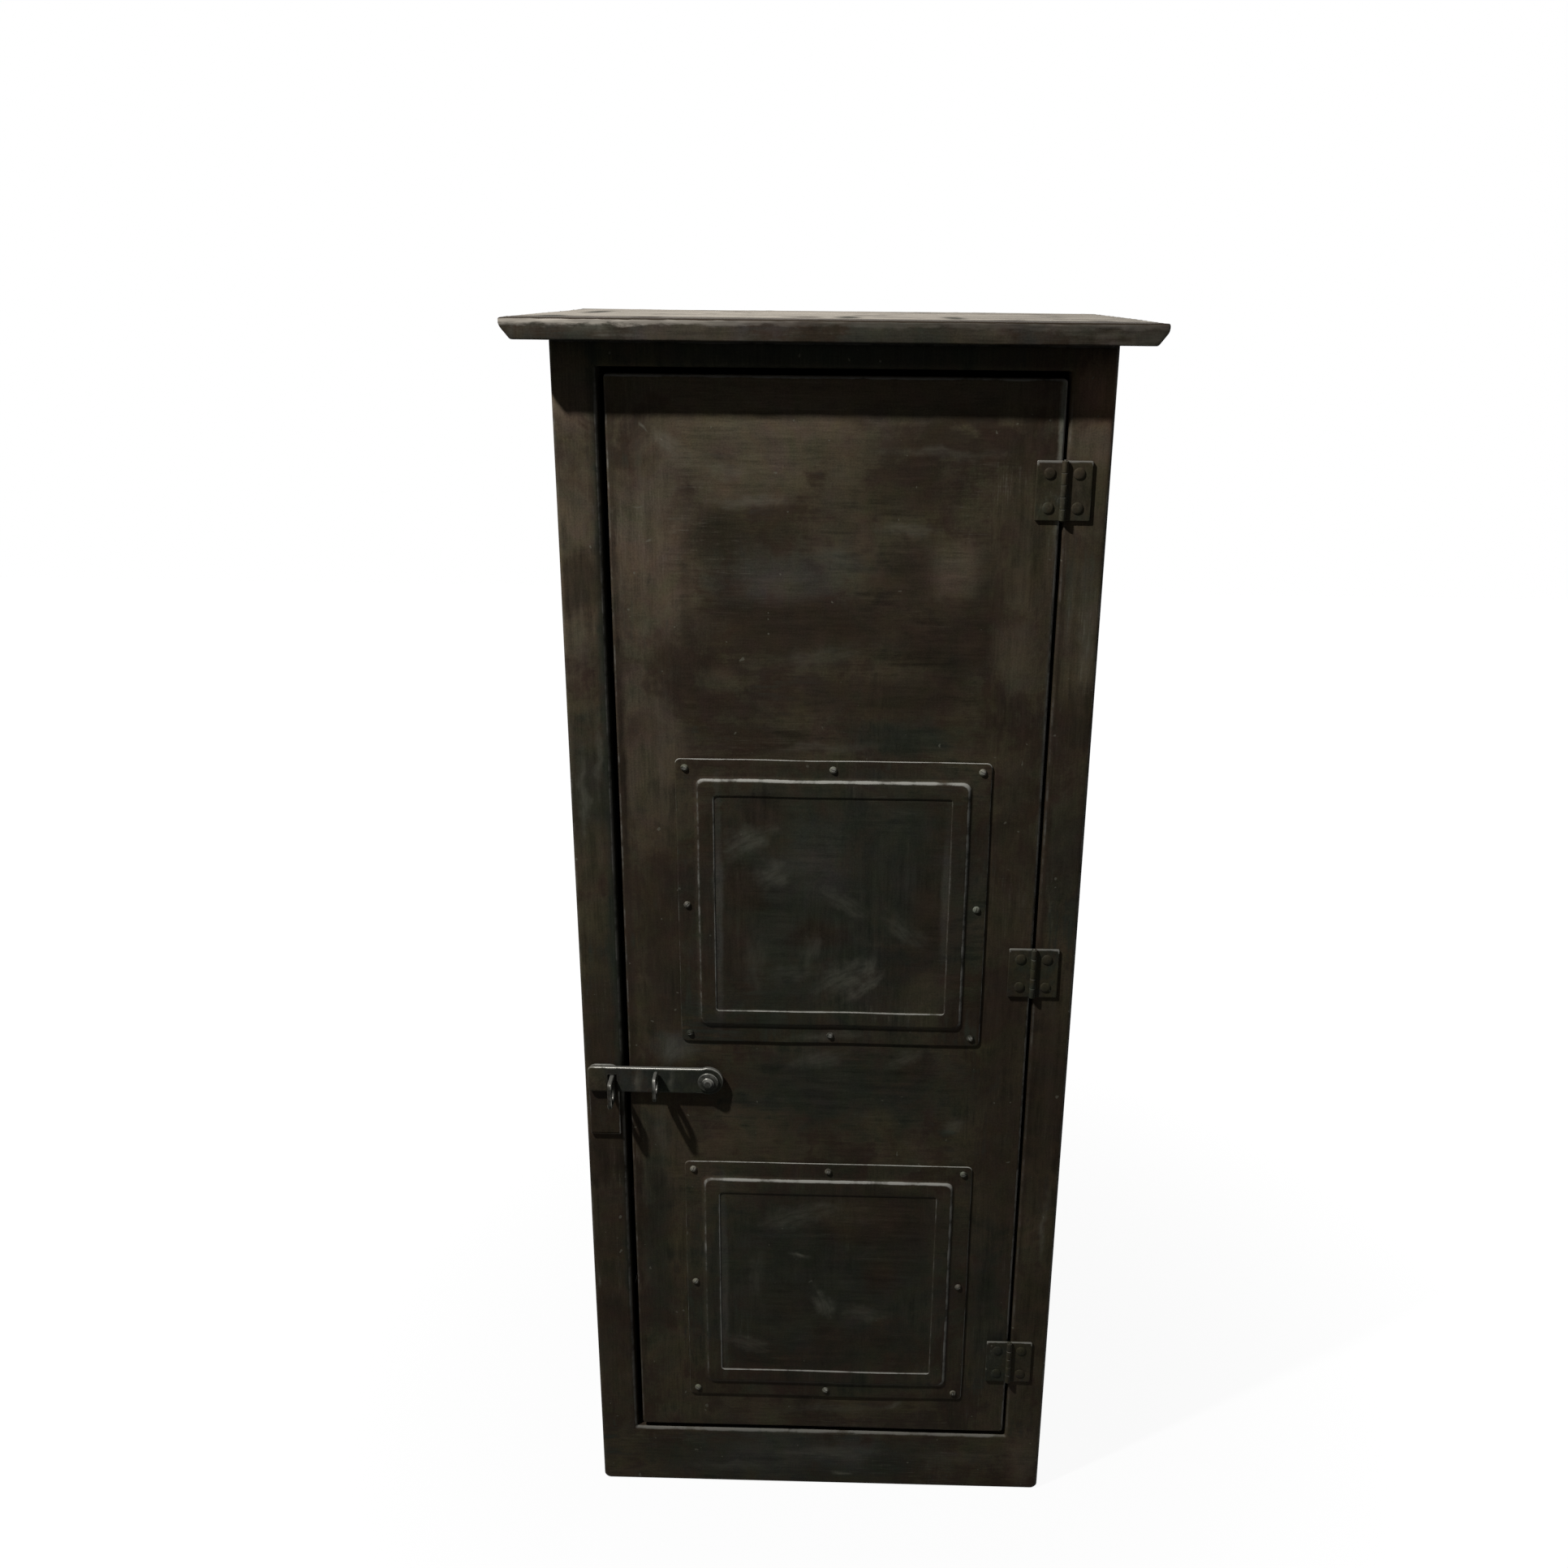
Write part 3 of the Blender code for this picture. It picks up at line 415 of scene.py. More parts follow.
def screw_head(radius, height, slot_width, slot_depth):
    """A round head with a slot, about its seat, facing front.

    Straight lines across the head lie at chosen heights, close together at the slot, and each is divided
    evenly between the two sides of the circle. The dome falls from its crown as a power of the distance from
    the middle, and the slot is cut straight into it. A flat seat closes the head.
    """
    half = slot_width / 2
    lip = half * 1.15
    upper = np.concatenate(([half, lip], np.linspace(lip, radius, 7)[1:]))
    lines = np.concatenate((-upper[::-1], upper))[:, None]
    across = np.linspace(-1, 1, 13) * np.sqrt(np.maximum(radius**2 - lines**2, 0))
    up = np.broadcast_to(lines, across.shape)
    distance = np.clip(np.hypot(across, up) / radius, 0, 1)
    dome = height * (1 - distance**2.6) ** 0.55
    floor = max(height - slot_depth, 0)
    out = np.where(np.abs(up) < (half + lip) / 2, np.minimum(dome, floor), dome)
    points = np.concatenate((placed(across, up, out, "front"), placed(across, up, 0.0, "front")))
    crown = grid_faces(*out.shape, wrap=False)
    seat = (np.array(crown) + out.size)[:, ::-1].tolist()
    edge = np.concatenate((np.clip(1.4 * (1 - distance), 0, 1).reshape(-1), np.zeros(out.size)))
    return Shape(points.reshape(-1, 3), crown + seat, edge)


def new_piece(name, shape, material, body, nodes, wall=0.0, facing_highlight=True):
    """A piece of the cabinet made from a surface, which rides on a body and stands for nodes of the frame.

    On a piece with facing highlight, edges that face up are worn most, which is partly a painted highlight.
    """
    mesh = bpy.data.meshes.new(name)
    mesh.from_pydata(shape.points.tolist(), [], shape.faces)
    mesh.attributes.new("edge", "FLOAT", "POINT").data.foreach_set("value", shape.edge.astype(np.float32))
    edit = bmesh.new()
    edit.from_mesh(mesh)
    bmesh.ops.remove_doubles(edit, verts=edit.verts, dist=WELD)
    edit.to_mesh(mesh)
    edit.free()
    if not mesh.polygons:
        raise RuntimeError(f"{name} has no faces")
    if facing_highlight:
        normals = np.empty((len(mesh.vertices), 3), np.float32)
        mesh.vertex_normals.foreach_get("vector", normals.reshape(-1))
        wear = np.empty(len(mesh.vertices), np.float32)
        mesh.attributes["edge"].data.foreach_get("value", wear)
        # Painted highlight: edge values are raised where an edge faces up, as if lit from above
        wear *= np.clip(EDGE_WEAR_AND_HIGHLIGHT_LEVEL + normals @ EDGE_WEAR_AND_HIGHLIGHT_FACING, 0, EDGE_WEAR_AND_HIGHLIGHT_LIMIT)
        mesh.attributes["edge"].data.foreach_set("value", wear)
    mesh.shade_smooth()
    mesh.set_sharp_from_angle(angle=SMOOTH_ANGLE)
    mesh.materials.append(material)
    piece = bpy.data.objects.new(name, mesh)
    bpy.context.scene.collection.objects.link(piece)
    if wall:
        modifier = piece.modifiers.new("Sheet", "SOLIDIFY")
        modifier.thickness = wall
        modifier.offset = -1
    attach(piece, body)
    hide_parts(*nodes)
    return piece


def finish_node(node, material):
    """Gives a node of the frame that stays in view its finish."""
    frame["nodes"][node].material_slots[0].material = material


class Signal:
    """A value, vector or colour that a node puts out. Arithmetic on it adds the nodes that work it out."""

    def __init__(self, wiring, socket):
        self.wiring = wiring
        self.socket = socket

    def __add__(self, other):
        return self.wiring.math("ADD", self, other)

    def __sub__(self, other):
        return self.wiring.math("SUBTRACT", self, other)

    def __rsub__(self, other):
        return self.wiring.math("SUBTRACT", other, self)

    def __mul__(self, other):
        return self.wiring.math("MULTIPLY", self, other)

    def __truediv__(self, other):
        return self.wiring.math("DIVIDE", self, other)

    @property
    def colour(self):
        """The colour that a noise puts out beside its value."""
        return Signal(self.wiring, self.socket.node.outputs["Color"])


def is_vector(term):
    """Whether a number, a colour or a signal has three parts."""
    if isinstance(term, Signal):
        return term.socket.type != "VALUE"
    return not np.isscalar(term)


class Wiring:
    """Adds nodes to one node tree and wires them."""

    def __init__(self, tree):
        self.tree = tree

    def feed(self, node, inputs):
        """Puts numbers, colours or signals on a node's inputs."""
        for key, value in inputs.items():
            socket = node.inputs[key]
            if isinstance(value, Signal):
                self.tree.links.new(value.socket, socket)
            elif socket.type == "RGBA":
                socket.default_value = (*value, 1.0)
            else:
                socket.default_value = value

    def node(self, kind, inputs=None, **settings):
        """A node with its settings and inputs, as the signals that it puts out, by identifier and by name."""
        node = self.tree.nodes.new(kind)
        for key, value in settings.items():
            setattr(node, key, value)
        self.feed(node, inputs or {})
        named = [(key, socket) for socket in node.outputs for key in (socket.identifier, socket.name)]
        return {key: Signal(self, socket) for key, socket in named}

    def group(self, name, inputs):
        """A shared node group with its own inputs."""
        return self.node("ShaderNodeGroup", inputs, node_tree=shared_group(name))

    def math(self, operation, first, second):
        """An operation on two values, or on vectors where either is one. A plain number stands for three."""
        if not is_vector(first) and not is_vector(second):
            return self.node("ShaderNodeMath", {0: first, 1: second}, operation=operation)["Value"]
        if np.isscalar(second):
            second = (second, second, second)
        return self.node("ShaderNodeVectorMath", {0: first, 1: second}, operation=operation)["Vector"]

    def length(self, vector):
        """The length of a vector."""
        return self.node("ShaderNodeVectorMath", {0: vector}, operation="LENGTH")["Value"]

    def mix(self, factor, first, second):
        """One colour laid over another."""
        return self.node("ShaderNodeMix", {0: factor, 6: first, 7: second}, data_type="RGBA")["Result_Color"]

    def blend(self, factor, first, second):
        """A value between two others."""
        return self.node("ShaderNodeMix", {0: factor, 2: first, 3: second}, data_type="FLOAT")["Result_Float"]

    def noise(self, position, scale, detail=3.0, roughness=0.55):
        """Cloudy noise between 0 and 1, with a scale in waves per metre."""
        inputs = {"Vector": position, "Scale": scale, "Detail": detail, "Roughness": roughness}
        return self.node("ShaderNodeTexNoise", inputs)["Fac"]

    def between(self, value, low, high, start=0.0, end=1.0):
        """A smooth step from one value to another."""
        inputs = {"Value": value, "From Min": low, "From Max": high, "To Min": start, "To Max": end}
        return self.node("ShaderNodeMapRange", inputs, interpolation_type="SMOOTHSTEP")["Result"]

    def bump(self, height, strength, distance):
        """The normal of a surface raised by a height."""
        inputs = {"Height": height, "Strength": strength, "Distance": distance}
        return self.node("ShaderNodeBump", inputs)["Normal"]

    def apart(self, position):
        """The three parts of a position."""
        return self.node("ShaderNodeSeparateXYZ", {0: position})

    def edge(self):
        """How worn a piece is at each point; on most pieces this also holds a painted highlight on edges that
        face up.
        """
        return self.node("ShaderNodeAttribute", attribute_name="edge")["Fac"]


def brushed_paint(w, given):
    """Paint brushed on by hand: broad clouds of three colours, strokes in two directions and rubbed scuffs.

    A slow drift bends the position and turns the strokes from level to upright. The dark and the cool colour
    each lie where clouds, made uneven by strokes and blotches, pass a level that falls as the colour's share
    rises.
    """
    position = given["Position"]
    drift = w.noise(position, 9.0)
    bent = position + drift.colour * 0.08
    clouds = w.noise(bent, 8.0, 6.0, 0.68)
    cool_clouds = w.noise(bent + (3.1, 7.7, 1.9), 7.0, 5.0, 0.65)
    blotches = w.noise(bent + (5.3, 1.7, 8.1), 30.0, 4.0, 0.6)
    grain = w.noise(position, 520.0, 2.0, 0.6)

    level = position * given["Strokes"]
    upright = position * given["Crossing"]
    turn = w.between(drift + given["Upright"], 0.90, 1.10)
    strokes = w.blend(turn, w.noise(level, 1.0, 5.0, 0.62), w.noise(upright, 1.0, 5.0, 0.62))
    half_turn = w.between(turn, 0.0, 1.0, 0.25, 0.75)
    fine = w.blend(half_turn, w.noise(level, 4.1, 3.0, 0.6), w.noise(upright, 4.1, 3.0, 0.6))

    uneven = (strokes - 0.5) * 0.55 + (blotches - 0.5) * 0.45
    dark_level = 0.70 - given["Darkness"] * 0.6
    dark = w.between(clouds + uneven, dark_level, dark_level + 0.20)
    cool_level = 0.85 - given["Coolness"] * 0.7
    cool = w.between(cool_clouds + uneven, cool_level, cool_level + 0.20)

    bristles = strokes * 0.7 + blotches * 0.5 + (fine + grain) * 0.4
    shade = w.between(bristles, 0.62, 1.38, 0.50, 1.55)
    rubbed = w.between(w.noise(bent, 7.0, 2.0), 0.5, 0.75) * w.between(fine + strokes * 0.5, 0.80, 1.05)
    chips = w.between(w.noise(position, 105.0, 1.0), 0.775, 0.80)
    return {
        "Color": w.mix(cool, w.mix(dark, given["Main"], given["Dark"]), given["Cool"]),
        "Tone": (blotches.colour * 0.40 + 0.80) * shade,
        "Rubbed": w.math("MAXIMUM", rubbed, chips) * given["Scuffs"],
        "Ragged": clouds * 1.6 + blotches + strokes * 0.7,
        "Roughness": w.between(clouds, 0.3, 0.7, 0.62, 0.50),
        "Height": strokes * 0.7 + fine * 0.3,
    }


def soft_patch(w, given):
    """A patch of another colour, brushed out at its rim, which the paint's ragged value moves in and out."""
    distance = w.length((given["Position"] - given["Centre"]) / given["Size"])
    mask = w.between(distance + given["Ragged"], 1.95, 2.75, 1.0, 0.0) * given["Strength"]
    return {"Color": w.mix(mask, given["Color"], given["Patch"])}


def scuff(w, given):
    """A short smear of dry strokes at an angle, pale over the paint, slightly bent and ragged at its rim."""
    position = given["Position"]
    inputs = {"Vector": position - given["Centre"], "Rotation": given["Turn"]}
    along = w.node("ShaderNodeVectorRotate", inputs, rotation_type="EULER_XYZ")["Vector"]
    bend = (w.noise(position, 28.0, 2.0).colour - 0.5) * 0.022
    distance = w.length((along + bend) / given["Size"])
    ragged = w.noise(position, 75.0, 4.0, 0.65) * 1.1
    strokes = w.between(w.noise(along * (30.0, 120.0, 140.0), 1.0, 6.0, 0.7), 0.15, 0.85)
    mask = w.between(distance + ragged, 0.55, 1.45, 1.0, 0.0) * strokes * given["Strength"]
    return {"Color": w.mix(mask, given["Color"], given["Pale"])}


def edge_wear_and_highlight(w, given):
    """Paint worn off folds and edges in broken stretches; on edges that face up this is partly a painted
    highlight.
    """
    broken = w.between(w.noise(given["Position"], 42.0, 5.0, 0.65), 0.3, 0.7, 0.3, 1.1)
    broad = w.noise(given["Position"], 9.0, 2.0)
    mask = w.between(given["Edge"] * (broken + broad * 0.6), 0.30, 0.95) * given["Wear"]
    return {"Color": w.mix(mask, given["Color"], given["Bare"]), "Mask": mask}


def board_grain(w, given):
    """Long grain of a board that runs from side to side, and flakes of old paint, both from 0 to 1."""
    position = given["Position"]
    long = w.noise(position * (3.0, 60.0, 60.0), 1.0, 5.0, 0.65)
    fine = w.noise(position * (12.0, 320.0, 320.0), 1.0, 3.0, 0.6)
    flakes = w.noise(position * (1.0, 2.2, 1.0), 13.0, 6.0, 0.62)
    return {"Grain": long * 0.65 + fine * 0.35, "Flakes": w.between(flakes + fine * 0.12, 0.63, 0.70)}


# What wires each node group, its inputs and its outputs
GROUPS = {
    "Brushed paint": (
        brushed_paint,
        "Position Strokes Crossing Upright Main Dark Cool Coolness Darkness Scuffs",
        "Color Tone Rubbed Ragged Roughness Height",
    ),
    "Soft patch": (soft_patch, "Color Position Ragged Centre Size Patch Strength", "Color"),
    "Scuff": (scuff, "Color Position Centre Turn Size Pale Strength", "Color"),
    "Edge wear": (edge_wear_and_highlight, "Color Position Edge Bare Wear", "Color Mask"),
    "Board grain": (board_grain, "Position", "Grain Flakes"),
}
# Inputs and outputs that aren't plain values
VECTORS = ("Position", "Strokes", "Crossing", "Centre", "Turn", "Size")
COLOURS = ("Color", "Tone", "Main", "Dark", "Cool", "Patch", "Pale", "Bare")
SOCKETS = dict.fromkeys(VECTORS, "NodeSocketVector") | dict.fromkeys(COLOURS, "NodeSocketColor")


def shared_group(name):
    """A shader node group, wired when it is first asked for."""
    if name in bpy.data.node_groups:
        return bpy.data.node_groups[name]
    wire, inputs, outputs = GROUPS[name]
    group = bpy.data.node_groups.new(name, "ShaderNodeTree")
    for side, sockets in (("INPUT", inputs), ("OUTPUT", outputs)):
        for socket in sockets.split():
            kind = SOCKETS.get(socket, "NodeSocketFloat")
            group.interface.new_socket(name=socket, in_out=side, socket_type=kind)
    w = Wiring(group)
    w.node("NodeGroupOutput", wire(w, w.node("NodeGroupInput")))
    return group


class Patch(NamedTuple):
    """A brushed patch: its middle across and up (back, on a flat top), half sizes, colour and strength."""

    across: float
    up: float
    width: float
    height: float
    colour: str
    strength: float


class Scuff(NamedTuple):
    """A pale smear on the front: its middle, its rise in degrees, its half sizes and its strength."""

    across: float
    up: float
    rise: float
    length: float
    width: float
    strength: float


# Half size of a patch or scuff along the direction that it doesn't change in
ALL_DEPTHS = 1000.0

DOOR_PATCHES = (
    Patch(-0.200, 1.290, 0.070, 0.20, "light_brown", 0.75),
    Patch(-0.205, 1.060, 0.060, 0.14, "light_brown", 0.55),
    Patch(-0.060, 1.420, 0.24, 0.050, "light_brown", 0.45),
    Patch(-0.085, 1.370, 0.080, 0.036, "light_brown", 0.50),
    Patch(0.085, 1.365, 0.065, 0.036, "dark_brown", 0.55),
    Patch(-0.123, 1.312, 0.042, 0.046, "dark_brown", 0.75),
    Patch(-0.060, 1.312, 0.028, 0.034, "dark_brown", 0.60),
    Patch(-0.050, 1.265, 0.110, 0.045, "grey", 0.55),
    Patch(0.116, 1.262, 0.100, 0.060, "dark_brown", 0.70),
    Patch(-0.034, 1.217, 0.150, 0.042, "dark_brown", 0.90),
    Patch(0.131, 1.194, 0.080, 0.042, "dark_brown", 0.95),
    Patch(0.139, 1.279, 0.034, 0.046, "light_brown", 0.85),
    Patch(0.058, 1.132, 0.140, 0.030, "dark_brown", 0.80),
    Patch(-0.125, 1.150, 0.036, 0.026, "light_brown", 0.35),
    Patch(0.205, 1.190, 0.034, 0.070, "light_brown", 0.45),
    Patch(0.215, 1.370, 0.040, 0.100, "dark_brown", 0.35),
    Patch(0.083, 1.084, 0.090, 0.032, "cool_black", 0.95),
    Patch(-0.070, 1.080, 0.090, 0.022, "dark_brown", 0.75),
    Patch(-0.160, 1.180, 0.010, 0.18, "dark_brown", 0.45),
    Patch(-0.190, 0.80, 0.040, 0.26, "dark_brown", 0.55),
    Patch(0.215, 0.85, 0.040, 0.26, "dark_brown", 0.45),
    Patch(0.027, 0.630, 0.200, 0.080, "cool_black", 0.90),
    Patch(0.110, 0.660, 0.036, 0.030, "dark_brown", 0.70),
    Patch(0.066, 0.582, 0.026, 0.026, "mid_brown", 0.70),
    Patch(-0.187, 0.680, 0.034, 0.026, "grey", 0.70),
    Patch(0.225, 0.50, 0.040, 0.30, "dark_brown", 0.60),
    Patch(0.215, 0.30, 0.034, 0.14, "cool_black", 0.75),
    Patch(-0.215, 0.40, 0.024, 0.26, "cool_black", 0.60),
    # Painted shade: a dark strip down the door's left edge, beside the gap
    Patch(-0.240, 0.80, 0.010, 0.85, "dark_brown", 0.95),
    # Painted light: a lighter band across the door's top lifts the board's shadow on it
    Patch(0.000, 1.465, 0.400, 0.050, "light_brown", 0.60),
    Patch(0.246, 1.430, 0.007, 0.130, "pale", 1.00),
    Patch(0.246, 1.100, 0.004, 0.300, "grey", 0.45),
)
DOOR_SCUFFS = (
    Scuff(-0.201, 1.431, -60.0, 0.009, 0.0022, 1.0),
    Scuff(-0.178, 1.413, -38.0, 0.034, 0.018, 0.45),
    Scuff(-0.208, 1.346, 0.0, 0.008, 0.002, 0.9),
    Scuff(-0.205, 1.309, 5.0, 0.007, 0.002, 0.8),
    Scuff(-0.085, 1.352, 0.0, 0.080, 0.009, 0.40),
    Scuff(-0.110, 1.385, 0.0, 0.040, 0.014, 0.30),
    Scuff(0.115, 1.405, 0.0, 0.110, 0.010, 0.30),
    Scuff(0.085, 1.322, 0.0, 0.060, 0.012, 0.35),
    Scuff(0.010, 1.290, -20.0, 0.070, 0.020, 0.22),
    Scuff(-0.010, 1.178, 10.0, 0.090, 0.022, 0.22),
    Scuff(0.000, 1.072, 2.0, 0.120, 0.010, 0.25),
    Scuff(-0.187, 0.674, 45.0, 0.044, 0.022, 0.40),
    Scuff(-0.006, 0.668, 18.0, 0.070, 0.018, 0.30),
    Scuff(0.097, 0.672, 24.0, 0.044, 0.016, 0.35),
    Scuff(0.165, 0.574, 10.0, 0.024, 0.018, 0.35),
    Scuff(-0.205, 0.560, 88.0, 0.110, 0.016, 0.22),
    Scuff(0.098, 0.140, 20.0, 0.020, 0.009, 0.60),
    Scuff(0.020, 0.130, 3.0, 0.120, 0.012, 0.25),
)
PLATE_PATCHES = (
    Patch(0.010, 0.874, 0.220, 0.220, "cool_black", 0.92),
    Patch(-0.076, 0.992, 0.034, 0.030, "dark_brown", 0.75),
    Patch(-0.100, 0.895, 0.036, 0.040, "dark_brown", 0.85),
    Patch(-0.005, 0.838, 0.046, 0.026, "dark_brown", 0.85),
    Patch(0.122, 0.870, 0.030, 0.070, "dark_brown", 0.75),
    Patch(0.122, 0.765, 0.034, 0.050, "mid_brown", 0.55),
    Patch(-0.108, 0.822, 0.024, 0.050, "dark_brown", 0.70),
    Patch(-0.010, 0.930, 0.070, 0.060, "grey", 0.30),
    Patch(0.006, 0.335, 0.220, 0.220, "cool_black", 0.85),
    Patch(0.060, 0.435, 0.100, 0.060, "dark_brown", 0.95),
    Patch(0.040, 0.445, 0.060, 0.034, "mid_brown", 0.50),
    Patch(-0.041, 0.309, 0.046, 0.040, "dark_brown", 0.35),
    Patch(0.076, 0.354, 0.034, 0.044, "dark_brown", 0.95),
    Patch(0.010, 0.240, 0.034, 0.050, "dark_brown", 0.70),
    Patch(0.070, 0.250, 0.040, 0.024, "dark_brown", 0.65),
    Patch(-0.129, 0.860, 0.008, 0.190, "grey", 0.80),
    Patch(0.140, 0.900, 0.007, 0.120, "grey", 0.50),
    Patch(-0.129, 0.330, 0.007, 0.170, "grey", 0.65),
    Patch(0.095, 0.975, 0.060, 0.045, "cool_black", 0.80),
)
PLATE_SCUFFS = (
    Scuff(-0.093, 0.960, 25.0, 0.050, 0.024, 0.53),
    Scuff(-0.066, 0.912, 30.0, 0.036, 0.026, 0.50),
    Scuff(0.022, 0.880, -32.0, 0.046, 0.020, 0.43),
    Scuff(0.092, 0.846, -42.0, 0.050, 0.024, 0.4),
    Scuff(0.020, 0.782, 26.0, 0.060, 0.030, 0.62),
    Scuff(0.044, 0.768, 40.0, 0.044, 0.012, 0.75),
    Scuff(-0.045, 0.785, 8.0, 0.060, 0.016, 0.25),
    Scuff(0.056, 0.800, 86.0, 0.050, 0.012, 0.4),
    Scuff(-0.085, 0.800, 84.0, 0.050, 0.024, 0.28),
    Scuff(-0.020, 0.815, 78.0, 0.046, 0.016, 0.31),
    Scuff(0.000, 0.700, 5.0, 0.070, 0.010, 0.44),
    Scuff(-0.026, 0.440, 16.0, 0.085, 0.026, 0.42),
    Scuff(-0.029, 0.379, -14.0, 0.020, 0.006, 1.0),
    Scuff(0.004, 0.305, -70.0, 0.036, 0.018, 0.75),
    Scuff(0.056, 0.291, -8.0, 0.050, 0.020, 0.4),
    Scuff(-0.095, 0.236, -20.0, 0.040, 0.020, 0.4),
    Scuff(-0.085, 0.350, 86.0, 0.060, 0.016, 0.28),
)
FRAME_PATCHES = (
    Patch(-0.282, 1.30, 0.034, 0.20, "light_brown", 0.55),
    Patch(-0.276, 1.00, 0.040, 0.12, "cool_black", 0.70),
    Patch(-0.272, 0.70, 0.040, 0.12, "dark_brown", 0.60),
    Patch(-0.276, 0.30, 0.040, 0.25, "dark_brown", 0.50),
    Patch(0.280, 1.24, 0.034, 0.14, "light_brown", 0.35),
    # Painted light: the next two patches lighten both stiles where the board's shadow falls on them
    Patch(0.285, 1.466, 0.055, 0.048, "shelf", 0.95),
    Patch(-0.282, 1.460, 0.040, 0.050, "light_brown", 0.80),
    Patch(0.276, 0.62, 0.040, 0.18, "dark_brown", 0.80),
    Patch(0.276, 0.95, 0.040, 0.10, "cool_black", 0.50),
    # Painted shade: dark strips down the stiles' inner edges, beside the door gap
    Patch(-0.254, 0.90, 0.010, 0.85, "cool_black", 0.95),
    Patch(0.254, 0.90, 0.008, 0.85, "dark_brown", 0.85),
    Patch(0.050, 0.045, 0.140, 0.050, "cool_black", 0.75),
    Patch(-0.160, 0.045, 0.110, 0.045, "cool_black", 0.55),
    Patch(0.150, 0.060, 0.100, 0.035, "grey", 0.12),
    # Painted shade: a dark band along the top rail, under the board
    Patch(0.000, 1.505, 0.290, 0.030, "cool_black", 0.90),
    Patch(-0.277, 1.262, 0.035, 0.050, "dark_brown", 0.75),
    Patch(-0.277, 0.940, 0.035, 0.050, "mid_brown", 0.70),
    Patch(-0.277, 0.530, 0.035, 0.080, "dark_brown", 0.95),
    Patch(0.277, 1.418, 0.040, 0.034, "light_brown", 0.70),
    Patch(0.277, 1.100, 0.040, 0.050, "dark_brown", 0.85),
    Patch(0.277, 0.300, 0.040, 0.060, "dark_brown", 0.60),
    Patch(-0.070, 0.048, 0.170, 0.070, "cool_black", 0.90),
    Patch(-0.050, 0.050, 0.160, 0.050, "grey", 0.35),
    Patch(0.035, 0.055, 0.060, 0.035, "grey", 0.65),
    Patch(0.275, 0.050, 0.030, 0.060, "light_brown", 0.60),
)
FRAME_SCUFFS = (
    Scuff(0.033, 0.018, 0.0, 0.026, 0.005, 1.0),
    Scuff(0.286, 0.432, 84.0, 0.080, 0.008, 0.50),
    Scuff(-0.286, 1.010, 88.0, 0.090, 0.010, 0.45),
    Scuff(-0.266, 1.060, 88.0, 0.070, 0.007, 0.40),
    Scuff(-0.120, 0.030, 3.0, 0.110, 0.012, 0.30),
    Scuff(0.170, 0.050, 0.0, 0.090, 0.016, 0.15),
    Scuff(0.010, 0.055, 0.0, 0.120, 0.012, 0.30),
    Scuff(0.284, 1.190, 86.0, 0.060, 0.012, 0.30),
)
BOARD_PATCHES = (
    Patch(0.260, 1.525, 0.320, 0.200, "dark_brown", 0.35),
    Patch(-0.270, 1.516, 0.070, 0.014, "cool_black", 0.60),
    Patch(-0.150, 1.522, 0.050, 0.020, "mid_brown", 0.60),
    Patch(0.060, 1.520, 0.080, 0.018, "cool_black", 0.40),
    Patch(0.150, 1.522, 0.040, 0.020, "mid_brown", 0.70),
)
# Dark spots on the board's top, long from front to back
BOARD_DARK_SPOTS = (
    Patch(-0.290, 0.060, 0.020, 0.090, "cool_black", 0.90),
    Patch(-0.197, -0.190, 0.020, 0.050, "dark_brown", 0.90),
    Patch(-0.302, -0.170, 0.020, 0.050, "cool_black", 0.85),
    Patch(-0.030, -0.120, 0.020, 0.050, "dark_brown", 0.70),
    Patch(0.015, -0.120, 0.020, 0.070, "cool_black", 0.90),
    Patch(0.132, -0.090, 0.020, 0.080, "cool_black", 0.95),
    Patch(0.185, -0.200, 0.020, 0.040, "dark_brown", 0.70),
    Patch(0.286, -0.180, 0.020, 0.050, "dark_brown", 0.60),
)
LATCH_PATCHES = (Patch(-0.300, 0.640, 0.040, 0.060, "mid_brown", 0.9),)
LATCH_SCUFFS = (
    Scuff(-0.232, 0.640, 86.0, 0.030, 0.012, 0.70),
    Scuff(-0.190, 0.640, 80.0, 0.026, 0.006, 0.60),
)


class Paint(NamedTuple):
    """A brushed paint: its colours by name, its shares of the cool and dark ones, its scuffs and its strokes.

    Strokes are waves per metre across, into and up the surface, for level and for upright ones.
    """

    main: str
    dark: str = "dark_brown"
    cool: str = "cool_black"
    coolness: float = 0.45
    darkness: float = 0.5
    scuffs: float = 0.5
    level: tuple = (11.0, 150.0, 150.0)
    upright: tuple = (130.0, 130.0, 9.0)


# Share of upright strokes that leaves both ways in patches, and one that leaves a few level patches
EITHER_WAY = 0.5
MOSTLY_UPRIGHT = 0.62
# Dull surfaces, and the strength and depth of the relief on paint, iron, board and shelves
SPECULAR = 0.02
PAINT_RELIEF = (0.25, 0.0006)
IRON_RELIEF = (0.3, 0.0004)
BOARD_RELIEF = (0.5, 0.0008)
SHELF_RELIEF = (0.4, 0.0006)
SHELF_DARK = 0.45


def palette():
    """The colours that a user can change."""
    return bpy.context.scene.cabinet_colours


def new_material(name):
    """A dull material, its wiring, its shader and the position that its patterns read."""
    material = bpy.data.materials.new(name)
    material.use_nodes = True
    w = Wiring(material.node_tree)
    shader = material.node_tree.nodes["Principled BSDF"]
    w.feed(shader, {"Specular IOR Level": SPECULAR})
    return material, w, shader, w.node("ShaderNodeTexCoord")["Object"]


def upright_above_rail(w, position):
    """Strokes that run level along the bottom rail and upright above it."""
    edge = box_of("bottom_rail").high[2]
    return w.between(w.apart(position)["Z"], edge - 0.006, edge + 0.004, 0.2, 0.8)


